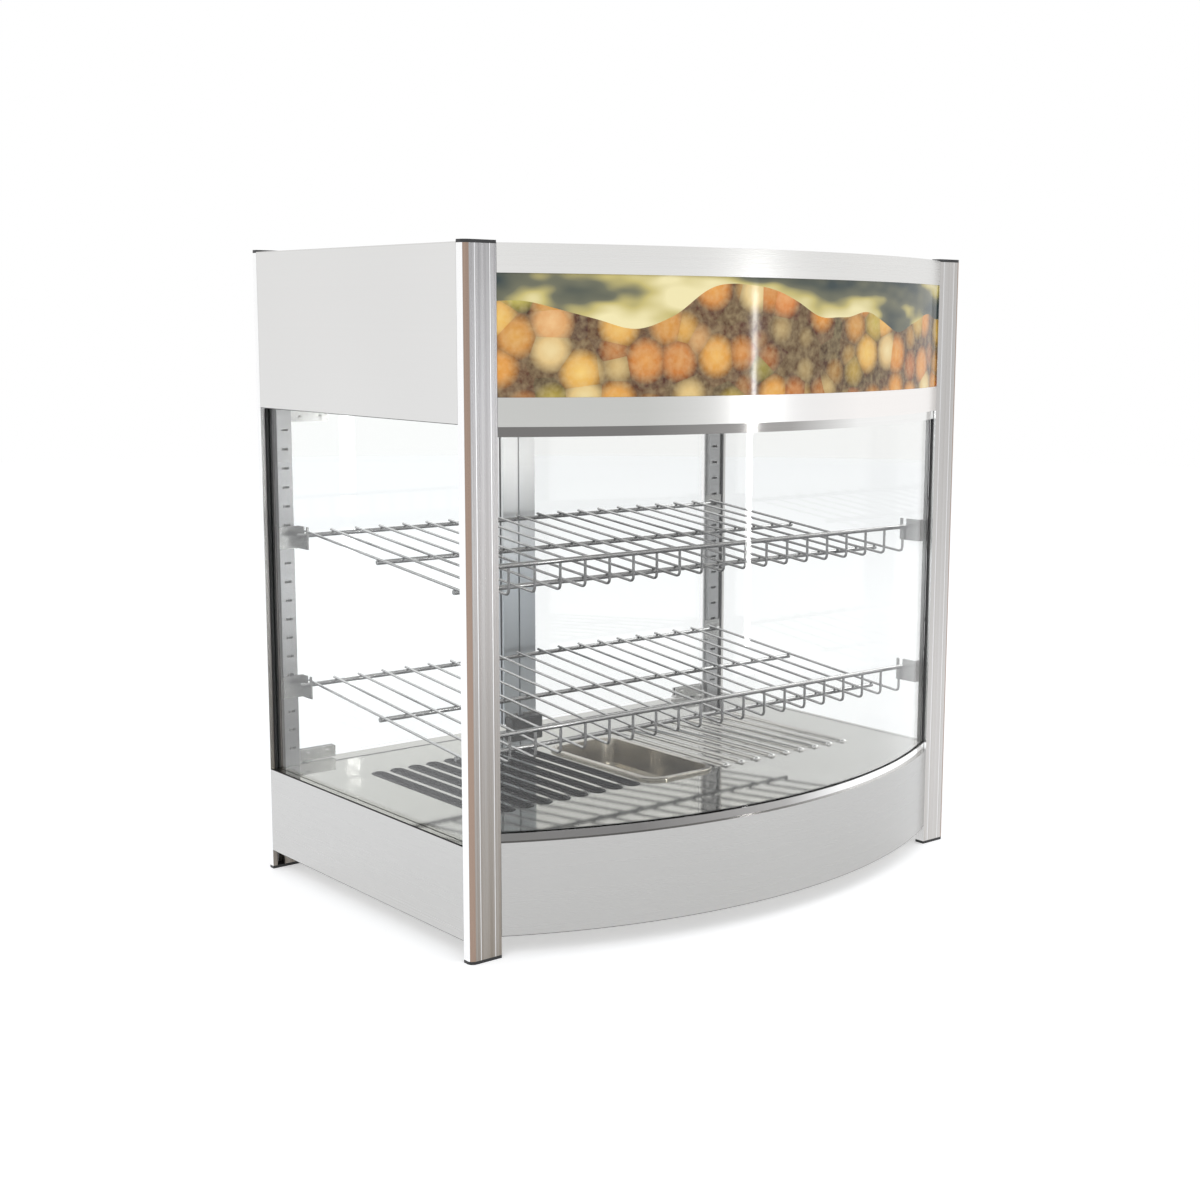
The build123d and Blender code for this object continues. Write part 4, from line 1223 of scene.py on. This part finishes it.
@dataclass
class Fixings:
    """Screws on the door hinges and the shelf clips."""

    palette: Palette
    hinge_end: float = 16 * MM
    hinge_spread: float = 12 * MM
    hinge_out: float = 0.2 * MM
    hinge_radius: float = 2.3 * MM
    clip_height: float = 24 * MM
    clip_side: float = 15 * MM
    clip_depth: float = 1.5 * MM
    clip_radius: float = 2.0 * MM

    def build(self) -> None:
        """Makes the screws."""
        for side, body in (("left", "door_left"), ("right", "door_right")):
            low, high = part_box(side + "_door_hinges")
            middle = (low[0] + high[0]) / 2
            levels = (low[2] + self.hinge_end, high[2] - self.hinge_end)
            columns = (middle - self.hinge_spread, middle + self.hinge_spread)
            centres = [(x, low[1] + self.hinge_out, z) for x in columns for z in levels]
            name = side + "_hinge_screws"
            ScrewSet(name, body, Slot.SCREW, centres, (0, -1, 0), self.hinge_radius, self.palette).build()
        low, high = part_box("shelf_clips")
        levels = (high[2] - self.clip_height / 2, low[2] + self.clip_height / 2)
        columns = (low[0] + self.clip_side, high[0] - self.clip_side)
        centres = [(x, low[1] + self.clip_depth, z) for z in levels for x in columns]
        ScrewSet("clip_screws", "cabinet", Slot.STRIP, centres, (0, 1, 0), self.clip_radius, self.palette).build()


@dataclass(frozen=True)
class Lamp:
    """A rectangular soft lamp, with its width and height in metres and its power in watts."""

    name: str
    spot: Point
    aim: Point
    size: Pair
    power: float

    def build(self) -> None:
        """Hangs the lamp."""
        data = bpy.data.lights.new(self.name, "AREA")
        data.shape = "RECTANGLE"
        data.size, data.size_y = self.size
        data.energy = self.power
        made = bpy.data.objects.new(self.name, data)
        made.location = self.spot
        made.rotation_euler = (Vector(self.aim) - Vector(self.spot)).to_track_quat("-Z", "Y").to_euler()
        bpy.context.scene.collection.objects.link(made)


@dataclass
class Studio:
    """Floor, world, lamps and camera."""

    eye: Point = (-1.19516, -1.47494, 0.58454)
    yaw: float = 0.7074
    pitch: float = 0.15457
    roll: float = 0.00768
    lens: float = 53.34
    shift: float = -0.0667
    sensor: float = 36.0
    key: Lamp = Lamp("key", (-2.2, -1.6, 2.4), (0.0, 0.0, 0.3), (1.6, 1.6), 26.0)
    fill: Lamp = Lamp("fill", (2.4, -0.6, 1.8), (0.0, 0.0, 0.3), (1.4, 1.4), 12.0)
    strip_aim: Point = (-0.050, -0.2415, 0.33)
    strip_way: Point = (0.547, -0.837, 0.0)
    strip_far: float = 1.40
    strip_size: Pair = (0.03, 0.62)
    strip_power: float = 1.1
    sky_colour: Colour = (0.95, 0.97, 1.0)
    sky_strength: float = 0.75
    floor_radius: float = 6.0
    floor_segments: int = 96
    floor_clouds: Point = (2.0, 2.0, 2.0)
    floor_tones: tuple[Colour, Colour] = ((0.86, 0.86, 0.86), (0.88, 0.88, 0.88))
    floor_lift: float = 0.38

    def camera(self) -> None:
        """Makes the camera at the photograph's place."""
        ahead = Vector(
            (
                math.sin(self.yaw) * math.cos(self.pitch),
                math.cos(self.yaw) * math.cos(self.pitch),
                -math.sin(self.pitch),
            )
        )
        right = Vector((math.cos(self.yaw), -math.sin(self.yaw), 0.0))
        up = right.cross(ahead)
        across = right * math.cos(self.roll) + up * math.sin(self.roll)
        above = up * math.cos(self.roll) - right * math.sin(self.roll)
        data = bpy.data.cameras.new("camera")
        data.sensor_width = self.sensor
        data.sensor_fit = "HORIZONTAL"
        data.lens = self.lens
        data.shift_x = self.shift
        made = bpy.data.objects.new("camera", data)
        matrix = Matrix((across, above, -ahead)).transposed().to_4x4()
        matrix.translation = Vector(self.eye)
        made.matrix_world = matrix
        bpy.context.scene.collection.objects.link(made)
        bpy.context.scene.camera = made

    def background(self, tree: bpy.types.NodeTree, colour: Colour, strength: float) -> Socket:
        """Adds a background to the world.

        Args:
            tree: The world's nodes.
            colour: Its colour.
            strength: Its strength.

        Returns:
            The background's output.
        """
        made = tree.nodes.new("ShaderNodeBackground")
        made.inputs["Color"].default_value = (*colour, 1.0)
        made.inputs["Strength"].default_value = strength
        return made.outputs["Background"]

    def world(self) -> None:
        """Makes a world that is white to the camera and in reflections, and softer as light."""
        world = bpy.data.worlds.new("studio")
        world.use_nodes = True
        bpy.context.scene.world = world
        tree = world.node_tree
        tree.nodes.clear()
        path = tree.nodes.new("ShaderNodeLightPath")
        seen = path.outputs["Is Camera Ray"]
        for ray in ("Is Glossy Ray", "Is Transmission Ray"):
            step = tree.nodes.new("ShaderNodeMath")
            step.operation = "MAXIMUM"
            tree.links.new(seen, step.inputs[0])
            tree.links.new(path.outputs[ray], step.inputs[1])
            seen = step.outputs[0]
        blend = tree.nodes.new("ShaderNodeMixShader")
        tree.links.new(seen, blend.inputs["Fac"])
        tree.links.new(self.background(tree, self.sky_colour, self.sky_strength), blend.inputs[1])
        tree.links.new(self.background(tree, WHITE, 1.0), blend.inputs[2])
        output = tree.nodes.new("ShaderNodeOutputWorld")
        tree.links.new(blend.outputs["Shader"], output.inputs["Surface"])

    def floor(self) -> None:
        """Makes the pale floor, lifted to white where nothing shades it."""
        mesh = bmesh.new()
        bmesh.ops.create_circle(mesh, cap_ends=True, radius=self.floor_radius, segments=self.floor_segments)
        made = mesh_object("floor", mesh)
        graph = Graph("studio_floor")
        clouds = graph.noise(self.floor_clouds, 1.0)
        matt = graph.node("ShaderNodeBsdfDiffuse")
        graph.join(graph.mix(clouds, *self.floor_tones), matt.inputs["Color"])
        glow = graph.node("ShaderNodeEmission")
        graph.join(graph.calc("MULTIPLY", graph.seen(), self.floor_lift), glow.inputs["Strength"])
        both = graph.node("ShaderNodeAddShader")
        graph.join(matt.outputs["BSDF"], both.inputs[0])
        graph.join(glow.outputs["Emission"], both.inputs[1])
        made.data.materials.append(graph.finish(both.outputs["Shader"]))

    def build(self) -> None:
        """Sets up the whole studio."""
        bpy.context.scene.view_settings.view_transform = "Standard"
        self.world()
        self.floor()
        self.key.build()
        self.fill.build()
        spot = Vector(self.strip_aim) + Vector(self.strip_way) * self.strip_far
        Lamp("strip", tuple(spot), self.strip_aim, self.strip_size, self.strip_power).build()
        self.camera()


def main() -> None:
    """Builds the pieces in order."""
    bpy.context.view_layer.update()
    palette = Palette()
    Dresser(palette).dress()
    for node in ("upper_shelf", "lower_shelf"):
        WireShelf(node, palette).build()
    SlotLips(palette).build()
    EdgeShadeLines(palette).build()
    Fixings(palette).build()
    Controls(palette).build()
    Studio().build()


if __name__ == "__main__":
    logging.basicConfig(level=logging.INFO)
    main()
